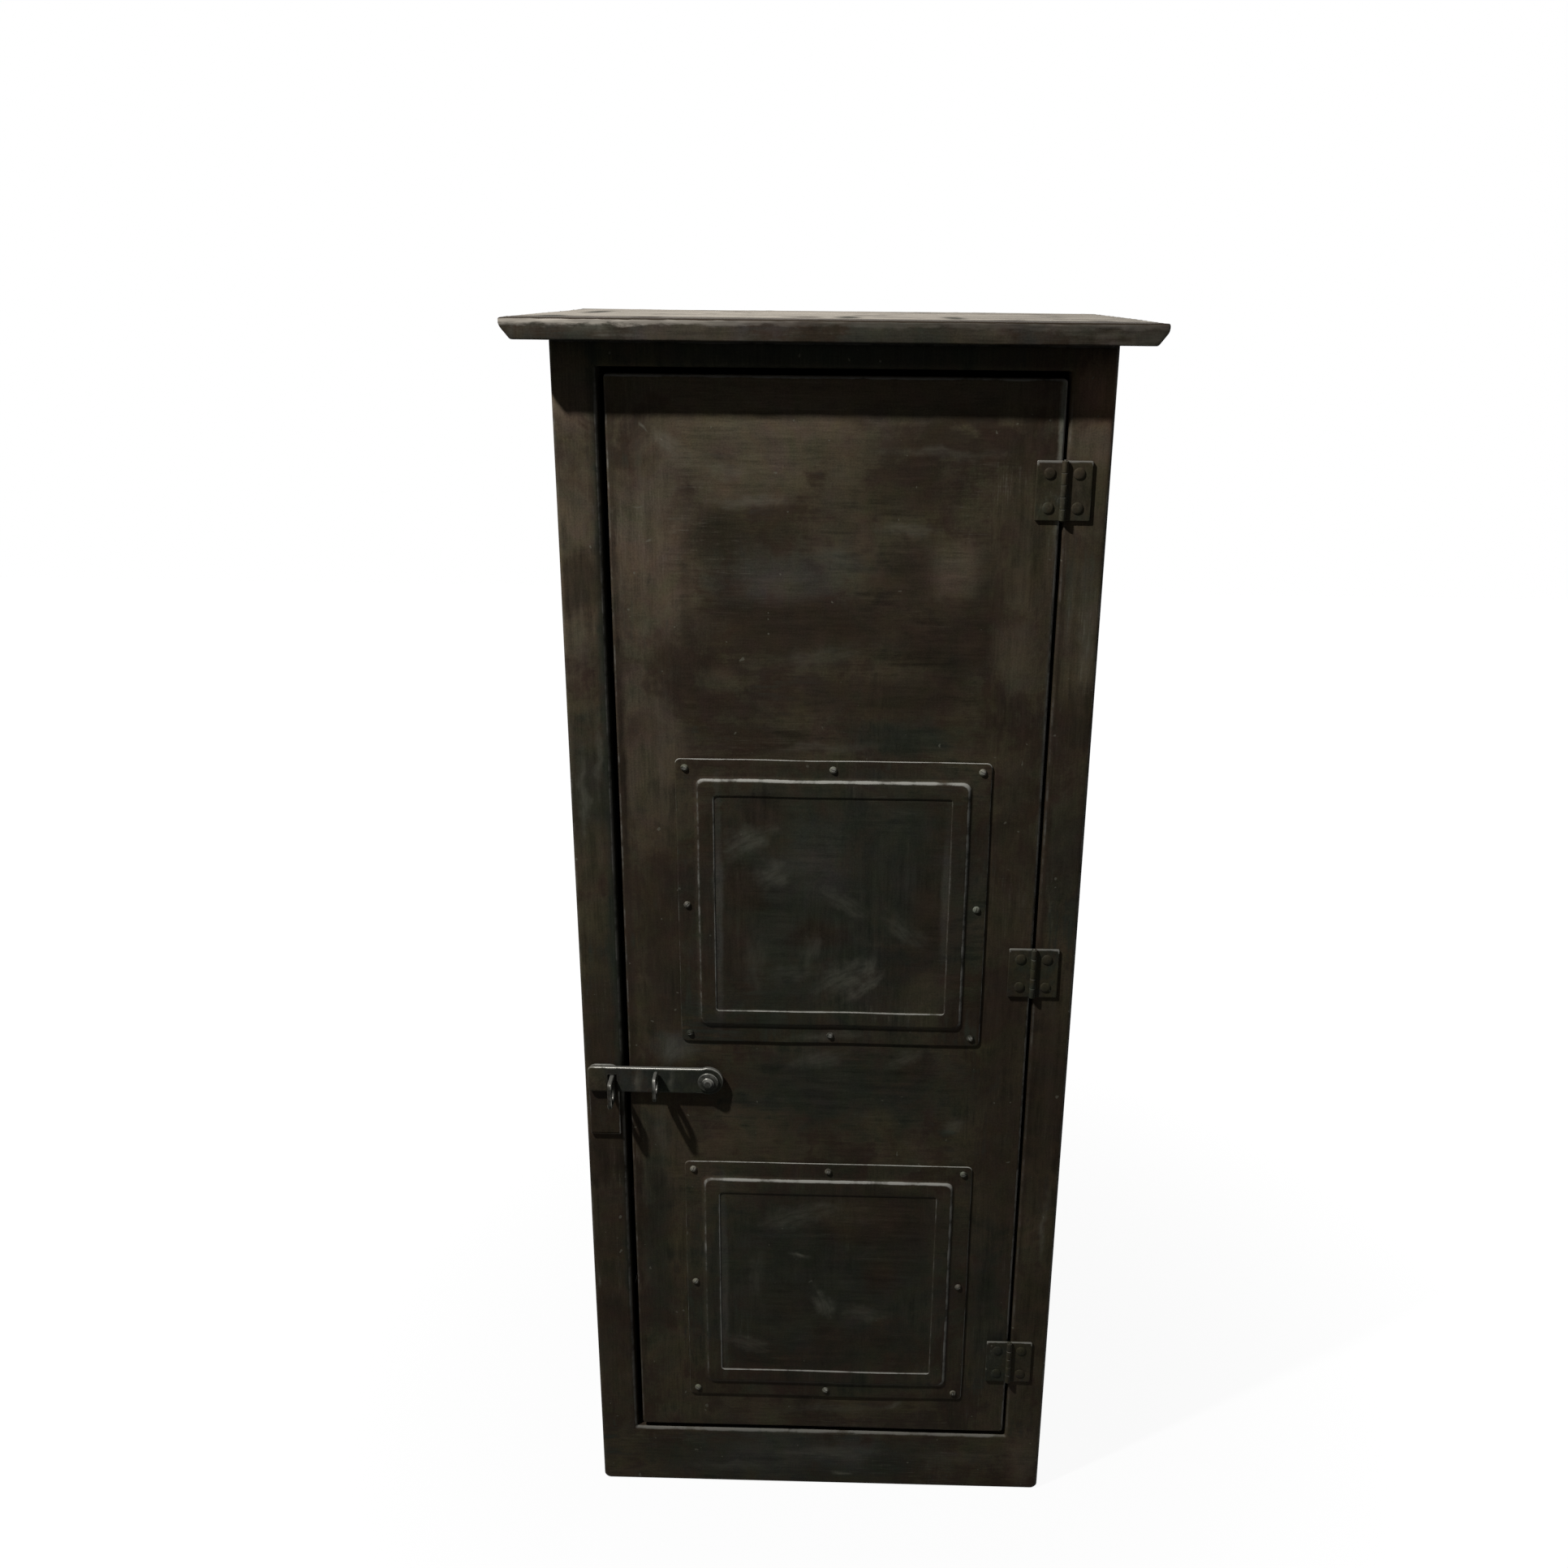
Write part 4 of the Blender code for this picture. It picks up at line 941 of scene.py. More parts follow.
def upright_at_sides(w, position):
    """Strokes that run level across the middle of the door and upright at both sides."""
    reach = box_of("door_panel").high[0]
    across = w.math("ABSOLUTE", w.apart(position)["X"], 0.0)
    return w.between(across, reach - 0.09, reach - 0.05, 0.36, 0.72)


def brushed(w, position, paint, upright):
    """A brushed paint with a share of upright strokes."""
    colours = palette()
    inputs = {
        "Position": position,
        "Strokes": paint.level,
        "Crossing": paint.upright,
        "Upright": upright,
        "Main": getattr(colours, paint.main),
        "Dark": getattr(colours, paint.dark),
        "Cool": getattr(colours, paint.cool),
        "Coolness": paint.coolness,
        "Darkness": paint.darkness,
        "Scuffs": paint.scuffs,
    }
    return w.group("Brushed paint", inputs)


def with_patches(w, colour, ragged, position, patches, flat=False):
    """A colour with brushed patches over it, on an upright front or on a flat top."""
    for patch in patches:
        centre = (patch.across, 0, patch.up)
        size = (patch.width, ALL_DEPTHS, patch.height)
        if flat:
            centre = (patch.across, patch.up, 0)
            size = (patch.width, patch.height, ALL_DEPTHS)
        inputs = {
            "Color": colour,
            "Position": position,
            "Ragged": ragged,
            "Centre": centre,
            "Size": size,
            "Patch": getattr(palette(), patch.colour),
            "Strength": patch.strength,
        }
        colour = w.group("Soft patch", inputs)["Color"]
    return colour


def with_scuffs(w, colour, position, marks):
    """A colour with pale smears over it."""
    for mark in marks:
        inputs = {
            "Color": colour,
            "Position": position,
            "Centre": (mark.across, 0, mark.up),
            "Turn": (0, np.radians(mark.rise), 0),
            "Size": (mark.length, ALL_DEPTHS, mark.width),
            "Pale": palette().pale,
            "Strength": mark.strength,
        }
        colour = w.group("Scuff", inputs)["Color"]
    return colour


def worked(w, paint, position, patches, marks=()):
    """Colour of a brushed paint with its patches under the strokes and its scuffs over them."""
    colour = with_patches(w, paint["Color"], paint["Ragged"], position, patches)
    colour = w.mix(paint["Rubbed"], colour * paint["Tone"], palette().pale)
    return with_scuffs(w, colour, position, marks)


def painted(name, paint, wear, upright=EITHER_WAY, patches=(), marks=(), bright=False):
    """Brush-painted metal: clouds and strokes, then its own patches and scuffs, then wear and painted
    highlight on its edges.

    The share of upright strokes is a number or a function of the position. Bright edges are bare metal.
    """
    if name in bpy.data.materials:
        return bpy.data.materials[name]
    material, w, shader, position = new_material(name)
    coat = brushed(w, position, paint, upright(w, position) if callable(upright) else upright)
    colour = worked(w, coat, position, patches, marks)
    inputs = {"Color": colour, "Position": position, "Edge": w.edge(), "Bare": palette().iron, "Wear": wear}
    worn = w.group("Edge wear", inputs)
    w.feed(shader, {"Base Color": worn["Color"]})
    if bright:
        w.feed(shader, {"Metallic": w.between(worn["Mask"], 0.0, 1.0, 0.0, 0.8)})
        w.feed(shader, {"Roughness": w.between(worn["Mask"], 0.0, 1.0, 0.48, 0.34)})
        w.feed(shader, {"Normal": w.bump(coat["Height"], *IRON_RELIEF)})
    else:
        w.feed(shader, {"Roughness": coat["Roughness"], "Normal": w.bump(coat["Height"], *PAINT_RELIEF)})
    return material


def iron(name, main, wear, patches=(), marks=()):
    """Dark handled iron with its own patches and scuffs, and with bright worn edges."""
    strokes = {"level": (90.0, 90.0, 90.0), "upright": (90.0, 90.0, 30.0)}
    paint = Paint(main, coolness=0.55, darkness=0.4, scuffs=0.6, **strokes)
    return painted(name, paint, wear, EITHER_WAY, patches, marks, bright=True)


def frame_paint():
    """Finish of the front frame."""
    paint = Paint("mid_brown", coolness=0.42, darkness=0.45)
    return painted("brushed_frame_paint", paint, 0.38, upright_above_rail, FRAME_PATCHES, FRAME_SCUFFS)


def door_paint():
    """Finish of the door."""
    paint = Paint("mid_brown", coolness=0.36, darkness=0.45, scuffs=0.45)
    return painted("brushed_door_paint", paint, 0.75, upright_at_sides, DOOR_PATCHES, DOOR_SCUFFS)


def plate_paint():
    """Finish of the pressed plates."""
    paint = Paint("mid_brown", darkness=0.55, scuffs=0.3)
    return painted("brushed_plate_paint", paint, 0.95, EITHER_WAY, PLATE_PATCHES, PLATE_SCUFFS)


def sheet_paint():
    """Finish of the sides and the back."""
    return painted("brushed_sheet_paint", Paint("mid_brown"), 0.5, MOSTLY_UPRIGHT)


def inside_paint():
    """Finish of the inner sheets."""
    paint = Paint("dark_brown", "cool_black", coolness=0.3, darkness=0.35, scuffs=0.3)
    return painted("brushed_inside_paint", paint, 0.3, MOSTLY_UPRIGHT)


def hinge_paint():
    """Finish of the hinges."""
    return iron("hinge_painted_iron", "hinge", 0.55)


def latch_iron():
    """Finish of the latch, its pivot and the padlock lug."""
    return iron("latch_worn_iron", "latch", 0.75, LATCH_PATCHES, LATCH_SCUFFS)


def keeper_paint():
    """Finish of the keeper plate, painted over with the frame."""
    return iron("keeper_painted_iron", "dark_brown", 0.45)


def screw_steel():
    """Finish of the plate screws."""
    return iron("screw_worn_steel", "pale", 0.8)


def board_paint():
    """Finish of the top board: paint on its edges and front, pale bare grain with dark flakes on its top.

    Paint is chipped off below the upper arris, most at the left, and a dark line runs along the arris itself.
    """
    colours = palette()
    material, w, shader, position = new_material("board_worn_paint")
    grain = w.group("Board grain", {"Position": position})
    bare = w.between(grain["Grain"], 0.33, 0.67, 0.45, 1.55) * colours.board_top
    paint = brushed(w, position, Paint("board_paint", cool="grey", coolness=0.5, scuffs=1.0), 0.35)
    side = worked(w, paint, position, BOARD_PATCHES)
    low, high = box_of("top_board")
    parts = w.apart(position)
    chipped_left = w.between(parts["X"], low[0] * 0.9, 0.0, 0.95, 0.10)
    chips = w.noise(position * (0.35, 1.0, 1.0), 55.0, 6.0, 0.68) * 0.022
    chipped = w.between(w.math("SUBTRACT", high[2], parts["Z"]) - chips, -0.007, -0.003, 0.9, 0.0)
    side = w.mix(chipped * chipped_left, side, bare)
    side = w.mix(w.between(w.edge(), 0.70, 0.95), side, colours.dark_brown)
    inward = parts["Y"] + grain["Grain"] * 0.09
    painted_front = w.between(inward, low[1] + 0.09, low[1] + 0.14, 1.0, 0.0)
    flakes = w.math("MAXIMUM", grain["Flakes"], painted_front)
    top = w.mix(flakes * 0.9, bare, colours.dark_brown)
    top = with_patches(w, top, paint["Ragged"], position, BOARD_DARK_SPOTS, flat=True)
    w.feed(shader, {"Base Color": w.mix(w.between(w.edge(), 1.80, 1.98), side, top)})
    w.feed(shader, {"Roughness": w.between(flakes, 0.0, 1.0, 0.82, 0.6)})
    w.feed(shader, {"Normal": w.bump(grain["Grain"] + flakes * 0.6, *BOARD_RELIEF)})
    return material


def shelf_stain():
    """Finish of the shelves: dark stained planks."""
    colours = palette()
    material, w, shader, position = new_material("shelf_stained_plank")
    grain = w.group("Board grain", {"Position": position})
    colour = w.between(grain["Grain"], 0.3, 0.7, SHELF_DARK, 1.0) * colours.shelf
    w.feed(shader, {"Base Color": w.mix(grain["Flakes"] * 0.35, colour, colours.dark_brown)})
    w.feed(shader, {"Roughness": w.between(grain["Grain"], 0.2, 0.8, 0.8, 0.62)})
    w.feed(shader, {"Normal": w.bump(grain["Grain"], *SHELF_RELIEF)})
    return material


class CABINET_OT_front_frame(bpy.types.Operator):
    """Builds the folded frame round the door opening as one sheet"""

    bl_idname = "cabinet.front_frame"
    bl_label = "Front Frame"

    def execute(self, context):
        sizes = context.scene.cabinet_sizes
        nodes = ("left_stile", "right_stile", "top_rail", "bottom_rail")
        low, high = box_of(*nodes)
        hole_low = np.array((box_of("left_stile").high[0], box_of("bottom_rail").high[2]))
        hole_high = np.array((box_of("right_stile").low[0], box_of("top_rail").low[2]))
        depth = high[1] - low[1]
        fold = sizes.fold_radius
        lip = 1.8 * fold
        outer, outer_edge = finer(*rounded_path(((0, -depth), (0, 0), (lip, 0)), fold), depth / 4)
        inner, inner_edge = finer(*rounded_path(((-lip, 0), (0, 0), (0, -depth)), fold), depth / 4)
        lows = bridged(low[FRONT] + outer[:, :1], hole_low + inner[:, :1])
        highs = bridged(high[FRONT] - outer[:, :1], hole_high - inner[:, :1])
        out = bridged(outer[:, 1:], inner[:, 1:])
        edge = bridged(outer_edge[:, None], inner_edge[:, None])[:, 0]
        foot = np.full(len(out), sizes.foot_radius)
        foot[len(outer) :] = fold / 2
        head = np.full_like(foot, fold / 3)
        radii = np.stack((head, head, foot, foot), -1)
        loops = rectangle_loops(lows, highs, radii, corner_steps=5, steps=(30, 70))
        shape = loft(placed(loops[..., 0], loops[..., 1], out, "front"), edge)
        uneven = swell(shape.points, amount=(0.5, 0.9, 0.5), length=0.35, seed=11) * sizes.unevenness
        above_floor = shape.points[:, 2:] > fold
        shape = shape.moved((0, low[1], 0) + uneven * above_floor)
        new_piece("front_frame", shape, frame_paint(), "cabinet", nodes, sizes.sheet)
        return {"FINISHED"}


class CABINET_OT_sheets(bpy.types.Operator):
    """Builds the slightly uneven side and back sheets"""

    bl_idname = "cabinet.sheets"
    bl_label = "Side and Back Sheets"

    def execute(self, context):
        sizes = context.scene.cabinet_sizes
        calm_margin = 0.08
        facings = {"left_side_panel": "left", "right_side_panel": "right", "back_panel": "back"}
        for number, (node, facing) in enumerate(facings.items()):
            axes = np.array(FACINGS[facing], float)
            ends = np.sort(np.array(box_of(node)) @ axes.T, axis=0)
            low, high = ends[:, :2] + np.array(((-1, 0), (1, 1))) * sizes.joint_gap
            reach = (high - low).min() / 2
            profile, edge = plate_profile(sizes.sheet, sizes.easing, reach, back=ends[0, 2])
            profile, edge = finer(profile, edge, longest=0.025)
            rounding = np.maximum(sizes.easing - profile[:, 0], 0)
            shape = sheet_shape(low, high, rounding, profile, edge, facing, steps=(24, 60))
            across = shape.points @ axes[:2].T
            margin = np.clip(np.minimum(across - low, high - across).min(-1) / calm_margin, 0, 1)
            calm = (margin**2 * (3 - 2 * margin))[:, None]
            amount = np.abs(axes[2]) * 2.2
            uneven = swell(shape.points, amount, length=0.45, seed=40 + number) - axes[2]
            shape = shape.moved(uneven * calm * sizes.unevenness)
            name = node.replace("panel", "sheet")
            new_piece(name, shape, sheet_paint(), "cabinet", (node,))
        return {"FINISHED"}


class CABINET_OT_top_board(bpy.types.Operator):
    """Builds the chamfered top board with its worn arrises"""

    bl_idname = "cabinet.top_board"
    bl_label = "Top Board"

    def execute(self, context):
        sizes = context.scene.cabinet_sizes
        low, high = box_of("top_board")
        thickness = high[2] - low[2]
        reach = (high[1] - low[1]) / 2
        rise = thickness - sizes.board_edge
        rounding = (0.0022, 0.004, 0.0030)
        sections = []
        for chamfer in (sizes.board_chamfer, 0):
            path = ((reach, 0), (chamfer, 0), (0, rise), (0, thickness), (reach, thickness))
            sections.append(rounded_path(path, rounding, steps=5))
        (end, arris), (front, _) = sections

        # Wear is one on the upper arris and rises to two on the flat top
        worn = np.where(end[:, 1] > rise + 0.001, arris, 0)
        past = len(worn) - 1 - np.argmax(worn[::-1])
        worn[past:] = np.interp(np.arange(len(worn) - past), (0, len(worn) - past - 2), (1, 2))

        # More rows on the flat underside and top, which are the first and the last step
        rows = np.arange(len(end))
        more = np.unique(np.concatenate((np.linspace(0, 1, 12), rows, np.linspace(rows[-2], rows[-1], 22))))
        columns = (end[:, 0], front[:, 0], end[:, 1], worn)
        side_inset, front_inset, up, worn = [np.interp(more, rows, column) for column in columns]
        inset = np.stack((side_inset, front_inset), -1)
        outline = (low[:2] + inset, high[:2] - inset)
        loops = rectangle_loops(*outline, radius=0.0015, corner_steps=3, steps=(150, 100))
        shape = loft(placed(loops[..., 0], loops[..., 1], low[2] + up[:, None], "top"), worn)

        points = shape.points
        above = points[:, 2:] - low[2]
        ragged = swell(points, amount=(1, 1, 0.7), length=0.035, seed=71)
        ragged += 0.8 * swell(points, amount=(1, 1, 0.6), length=0.011, seed=72)
        share = np.interp(shape.edge, (0, 0.8, 1.2, 2), (0.35, 1.0, 1.0, 0.1))[:, None] * (above > 0)
        slow = swell(points, amount=(1, 1, 0.8), length=0.3, seed=73) * np.clip(above / 0.004, 0, 1)
        shape = shape.moved((ragged * share + slow * 0.6) * sizes.board_wear)
        new_piece("worn_top_board", shape, board_paint(), "cabinet", ("top_board",), facing_highlight=False)
        return {"FINISHED"}


class CABINET_OT_inside(bpy.types.Operator):
    """Finishes the floor, the door's liner and the shelves"""

    bl_idname = "cabinet.inside"
    bl_label = "Inside"

    def execute(self, context):
        for node in ("floor_panel", "door_liner"):
            finish_node(node, inside_paint())
        stain = shelf_stain()
        for level in LEVELS:
            finish_node(f"{level}_shelf", stain)
        return {"FINISHED"}


class CABINET_OT_door(bpy.types.Operator):
    """Builds the door's pan with its turned edges"""

    bl_idname = "cabinet.door"
    bl_label = "Door"

    def execute(self, context):
        sizes = context.scene.cabinet_sizes
        low, high = box_of("door_panel")
        depth = high[1] - low[1]
        reach = (high[0] - low[0]) / 2
        fold = sizes.door_fold
        profile, edge = rounded_path(((0, -depth), (0, 0), (reach, 0)), fold, steps=6)
        profile, edge = finer(profile, edge, longest=0.012)
        rounding = np.maximum(fold - profile[:, 0], 0)
        shape = sheet_shape(low[FRONT], high[FRONT], rounding, profile, edge, "front", steps=(40, 110))
        uneven = swell(shape.points, amount=(0.3, 1.0, 0.3), length=0.3, seed=21) * sizes.unevenness
        shape = shape.moved((0, low[1], 0) + uneven)
        new_piece("door_pan", shape, door_paint(), "door", ("door_panel",), sizes.sheet)
        return {"FINISHED"}


class CABINET_OT_pressed_plates(bpy.types.Operator):
    """Builds the square plates with a raised band and a sunk centre"""

    bl_idname = "cabinet.pressed_plates"
    bl_label = "Pressed Plates"

    def profile(self, sizes, reach, top):
        """A plate's section from its edge to its middle, its wear and its corner radii.

        The flange's edge, the band's slope and the rim of the sunk centre are worn.
        """
        band = sizes.flange
        centre = band + sizes.band
        rim = sizes.sheet / 2
        path = (
            (0, 0),
            (0, sizes.sheet),
            (band, sizes.sheet),
            (band + sizes.band_slope, top),
            (centre, top),
            (centre + rim, top - sizes.centre_sink),
            (reach, top - sizes.centre_sink),
        )
        radii = (sizes.easing * 2, sizes.plate_fold, sizes.plate_fold, rim, rim)
        profile, edge = finer(*rounded_path(path, radii, steps=5), longest=0.010)
        inset = profile[:, 0]
        slope_stops = band + sizes.band_slope * np.array((0.2, 0.5, 1.0, 1.5))
        rim_stops = centre + sizes.sheet * np.array((-0.8, -0.2, 0.2, 0.6))
        slope_wear = np.interp(inset, slope_stops, (0, 0.9, 1, 0))
        rim_wear = np.interp(inset, rim_stops, (0, 0.85, 1, 0))
        edge = np.where(inset < sizes.easing * 4, edge, np.maximum(slope_wear, rim_wear))
        stops = (0, band - sizes.band_slope, band, centre - rim, centre + rim, reach)
        return profile, edge, np.interp(inset, stops, (0.006, 0.004, 0.009, 0.006, 0.0015, 0))

    def execute(self, context):
        sizes = context.scene.cabinet_sizes
        # Wear of the centre's rim at its left, right, upper and lower side; high wear on the up-facing lower
        # rim and low wear on the down-facing upper rim are partly painted highlight and painted shade
        left, right, upper, lower = 1.1, 0.85, 0.2, 1.0
        for number, name in enumerate(PLATES):
            node = f"{name}_plate"
            box = box_of(node)
            reach = box.size[0] / 2
            profile, edge, corners = self.profile(sizes, reach, box.size[1])
            outline = (box.low[FRONT], box.high[FRONT])
            shape = sheet_shape(*outline, corners, profile, edge, "front", steps=(48, 48), corner_steps=6)
            across, up = (shape.points - box.middle)[:, FRONT].T
            beside = np.where(across < 0, left, right)
            above = np.where(up > 0, upper, lower)
            side = np.where(np.abs(across) > np.abs(up), beside, above)
            inner = np.maximum(np.abs(across), np.abs(up)) < reach - sizes.flange - sizes.band + sizes.sheet
            shape = shape._replace(edge=shape.edge * np.where(inner, side, 1.0))
            uneven = swell(shape.points, amount=(0.9, 0.5, 0.9), length=0.16, seed=31 + number)
            shape = shape.moved((0, box.high[1], 0) + uneven * sizes.unevenness)
            wall = sizes.sheet * 0.8
            new_piece(f"{name}_pressed_plate", shape, plate_paint(), "door", (node,), wall)
        return {"FINISHED"}


class CABINET_OT_plate_screws(bpy.types.Operator):
    """Builds the slotted screws of each plate, with their slots turned at random"""

    bl_idname = "cabinet.plate_screws"
    bl_label = "Plate Screws"

    def screw(self, node, sizes):
        """A screw about its seat, and the seat's place. Height and shank are shares of the head's radius."""
        box = box_of(node)
        radius = box.size[0] / 2
        height = radius * 0.55
        shank = radius * 0.45
        seat = np.array((box.middle[0], box.low[1] + height, box.middle[2]))
        tail = box.high[1] - seat[1]
        head = screw_head(radius, height, sizes.slot_width, sizes.slot_depth)
        profile = ((0, -tail), (shank * 0.6, -tail), (shank, -tail * 0.9), (shank, 0), (0, 0.0002))
        body = turned_shape(profile, np.zeros(len(profile)), (0, 0, 0), "front", steps=16)
        return joined((head, body)), seat

    def execute(self, context):
        draws = np.random.default_rng(5)
        for name in PLATES:
            nodes = [f"{name}_plate_screw_{number}" for number in range(1, 9)]
            screws = []
            for node in nodes:
                screw, seat = self.screw(node, context.scene.cabinet_sizes)
                screws.append(screw.turned(draws.uniform(0, np.pi)).moved(seat))
            new_piece(f"{name}_plate_screws", joined(screws), screw_steel(), "door", nodes)
        return {"FINISHED"}


class CABINET_OT_hinges(bpy.types.Operator):
    """Builds the leaves, knuckles, pins and domed rivets of the hinges"""

    bl_idname = "cabinet.hinges"
    bl_label = "Hinges"

    def leaf(self, node, on_right, kept, sizes):
        """A leaf: an eased plate beside the pin with its share of the five knuckles."""
        low, high = box_of(node)
        axis = joint_place("door_hinge")
        knuckle = high[1] - axis[1]
        near, far = (axis[0] + knuckle / 3, high[0]) if on_right else (low[0], axis[0] - knuckle / 3)
        reach = min(far - near, high[2] - low[2]) / 2
        profile, _ = finer(*plate_profile(sizes.leaf, sizes.easing, reach), longest=0.002)
        margin = 0.003
        rim = np.interp(profile[:, 0], (0, margin / 3, margin), (1, 1, 0))
        edge = np.where(profile[:, 1] > sizes.leaf / 2, rim, 0)
        rounding = np.maximum(sizes.leaf_corner - profile[:, 0], 0)
        corners = np.array(((near, low[2]), (far, high[2])))
        plate = sheet_shape(*corners, rounding, profile, edge, "front", steps=(8, 12), corner_steps=3)
        # The upper edge is worn most; this extra wear on the edge that faces up is partly a painted highlight
        side = np.where(plate.points[:, 2] > high[2] - margin, 1.6, 0.5)
        shapes = [plate._replace(edge=plate.edge * side).moved((0, high[1], 0))]
        pitch = (high[2] - low[2]) / 5
        length = pitch - sizes.knuckle_gap
        section, worn = rounded_path(cylinder_path(knuckle, length), radii=0.0005, steps=3)
        for index in kept:
            foot = (axis[0], axis[1], low[2] + pitch * index + sizes.knuckle_gap / 2)
            shapes.append(turned_shape(section, worn * 0.7, foot, "top", steps=28))
        return joined(shapes)

    def rivet(self, node):
        """A rivet: a shank and a low elliptic dome. Its height and shank are shares of its radius."""
        box = box_of(node)
        radius = box.size[0] / 2
        height = radius * 0.46
        shank = radius * 0.46
        tail = box.size[1] - height
        angle = np.linspace(0, np.pi / 2, 7)
        dome = np.column_stack((radius * np.cos(angle), 0.55 * height * np.sin(angle)))
        stem = ((0, -tail), (shank, -tail), (shank, 0), (radius, 0))
        worn = np.concatenate((np.zeros(len(stem)), 0.5 * np.sin(angle) ** 4))
        seat = (box.middle[0], box.low[1] + height, box.middle[2])
        return turned_shape(np.concatenate((stem, dome)), worn, seat, "front", steps=24)

    def pin(self, node):
        """A pin with rounded ends."""
        box = box_of(node)
        radius, tall = box.size[0] / 2, box.size[2]
        section, worn = rounded_path(cylinder_path(radius, tall), radius * 0.45)
        axis = joint_place("door_hinge")
        return turned_shape(section, worn, (axis[0], axis[1], box.low[2]), "top", steps=24)

    def execute(self, context):
        sizes = context.scene.cabinet_sizes
        sides = (("frame", True, (1, 3), "cabinet"), ("door", False, (0, 2, 4), "door"))
        for word, on_right, kept, body in sides:
            nodes = [f"{level}_{word}_leaf" for level in LEVELS]
            leaves = joined([self.leaf(node, on_right, kept, sizes) for node in nodes])
            new_piece(f"{word}_hinge_leaves", leaves, hinge_paint(), body, nodes)
            nodes = [f"{level}_{word}_rivet_{end}" for level in LEVELS for end in ("bottom", "top")]
            rivets = joined([self.rivet(node) for node in nodes])
            new_piece(f"{word}_hinge_rivets", rivets, hinge_paint(), body, nodes)
        nodes = [f"{level}_hinge_pin" for level in LEVELS]
        pins = joined([self.pin(node) for node in nodes])
        new_piece("hinge_pins", pins, hinge_paint(), "cabinet", nodes)
        return {"FINISHED"}


class CABINET_OT_latch(bpy.types.Operator):
    """Builds the swinging bar with its finger tab, and its pivot on the door"""

    bl_idname = "cabinet.latch"
    bl_label = "Latch"

    def bar(self, sizes, pivot):
        """The bar: a flat outline about the pivot, round at the pivot and notched to drop over the lug."""
        low, high = box_of("latch_bar")
        lug = box_of("padlock_lug")
        half = sizes.bar_height / 2
        corner = sizes.bar_corner
        end = high[0] - pivot[0]
        tip = low[0] - pivot[0]
        left = lug.low[0] - sizes.lug_clearance - pivot[0]
        right = lug.high[0] + sizes.lug_clearance - pivot[0]
        top = lug.high[2] - pivot[2] + 0.0003
        reach = 180 - np.degrees(np.arcsin(half / end))
        stretches = (
            arc((tip + corner, half - corner), corner, 90, 180, steps=6),
            arc((tip + corner, corner - half), corner, 180, 270, steps=6),
            ((left, -half), (left, top), (right, top), (right, -half)),
            arc((0, 0), end, -reach, reach, steps=32),
        )
        seat = (pivot[0], high[1], pivot[2])
        return outline_shape(np.concatenate(stretches), high[1] - low[1], sizes.forged_easing, seat)

    def washer(self, pivot):
        """The washer: a flat ring's outer form with its front edge rounded, worn over its front."""
        box = box_of("pivot_washer")
        radius, tall = box.size[0] / 2, box.size[1]
        section, worn = rounded_path(cylinder_path(radius, tall), (0.0004, 0.0012))
        worn = np.where(section[:, 1] > tall * 0.9, np.maximum(worn, 0.75), 0)
        return turned_shape(section, worn, (pivot[0], box.high[1], pivot[2]), "front", steps=40)

    def bolt(self, sizes, pivot):
        """The bolt: a shank and a head that tapers towards its worn front, seated on the washer."""
        low, high = box_of("pivot_bolt")
        seat = box_of("pivot_washer").low[1]
        radius, shank = sizes.bolt_head, sizes.bolt_shank
        tail = seat - high[1]
        tall = seat - low[1]
        head = ((radius, 0), (radius, tall * 0.6), (radius * 0.55, tall), (0, tall))
        path = ((0, tail), (shank, tail), (shank, 0), *head)
        section, worn = rounded_path(path, (0.0008, 0.0003, 0.0003, 0.0012, 0.0012), steps=3)
        worn = np.where(section[:, 1] > tall * 0.55, np.maximum(worn, 0.65), 0)
        return turned_shape(section, worn, (pivot[0], seat, pivot[2]), "front", steps=32)

    def execute(self, context):
        sizes = context.scene.cabinet_sizes
        pivot = joint_place("latch_pivot")
        bar = self.bar(sizes, pivot)
        new_piece("latch_bar_forged", bar, latch_iron(), "latch", ("latch_bar",))
        tab = eye_shape("finger_tab", eye_back=0.016, eye_halves=(0.007, 0.007), power=4, easing=sizes.easing)
        new_piece("finger_tab_forged", tab, latch_iron(), "latch", ("finger_tab",))
        washer = self.washer(pivot)
        new_piece("pivot_washer_turned", washer, latch_iron(), "door", ("pivot_washer",))
        bolt = self.bolt(sizes, pivot)
        new_piece("pivot_bolt_turned", bolt, latch_iron(), "door", ("pivot_bolt",))
        finish_node("pivot_spacer", latch_iron())
        return {"FINISHED"}


class CABINET_OT_keeper(bpy.types.Operator):
    """Builds the keeper plate on the left stile and the padlock lug that stands out of it"""

    bl_idname = "cabinet.keeper"
    bl_label = "Keeper and Lug"

    def execute(self, context):
        sizes = context.scene.cabinet_sizes
        low, high = box_of("keeper_plate")
        corner, foot = sizes.keeper_corner, sizes.keeper_foot
        stretches = (
            arc((high[0] - corner, high[2] - corner), corner, 0, 90, steps=8),
            arc((low[0] + corner, high[2] - corner), corner, 90, 180, steps=8),
            arc((low[0] + foot, low[2] + foot), foot, 180, 270, steps=4),
            arc((high[0] - foot, low[2] + foot), foot, 270, 360, steps=4),
        )
        easing = sizes.forged_easing
        plate = outline_shape(np.concatenate(stretches), high[1] - low[1], easing, (0, high[1], 0))
        new_piece("keeper_plate_forged", plate, keeper_paint(), "cabinet", ("keeper_plate",))
        lug = eye_shape("padlock_lug", eye_back=0.0175, eye_halves=(0.006, 0.010), power=7, easing=easing)
        new_piece("padlock_lug_forged", lug, latch_iron(), "cabinet", ("padlock_lug",))
        return {"FINISHED"}


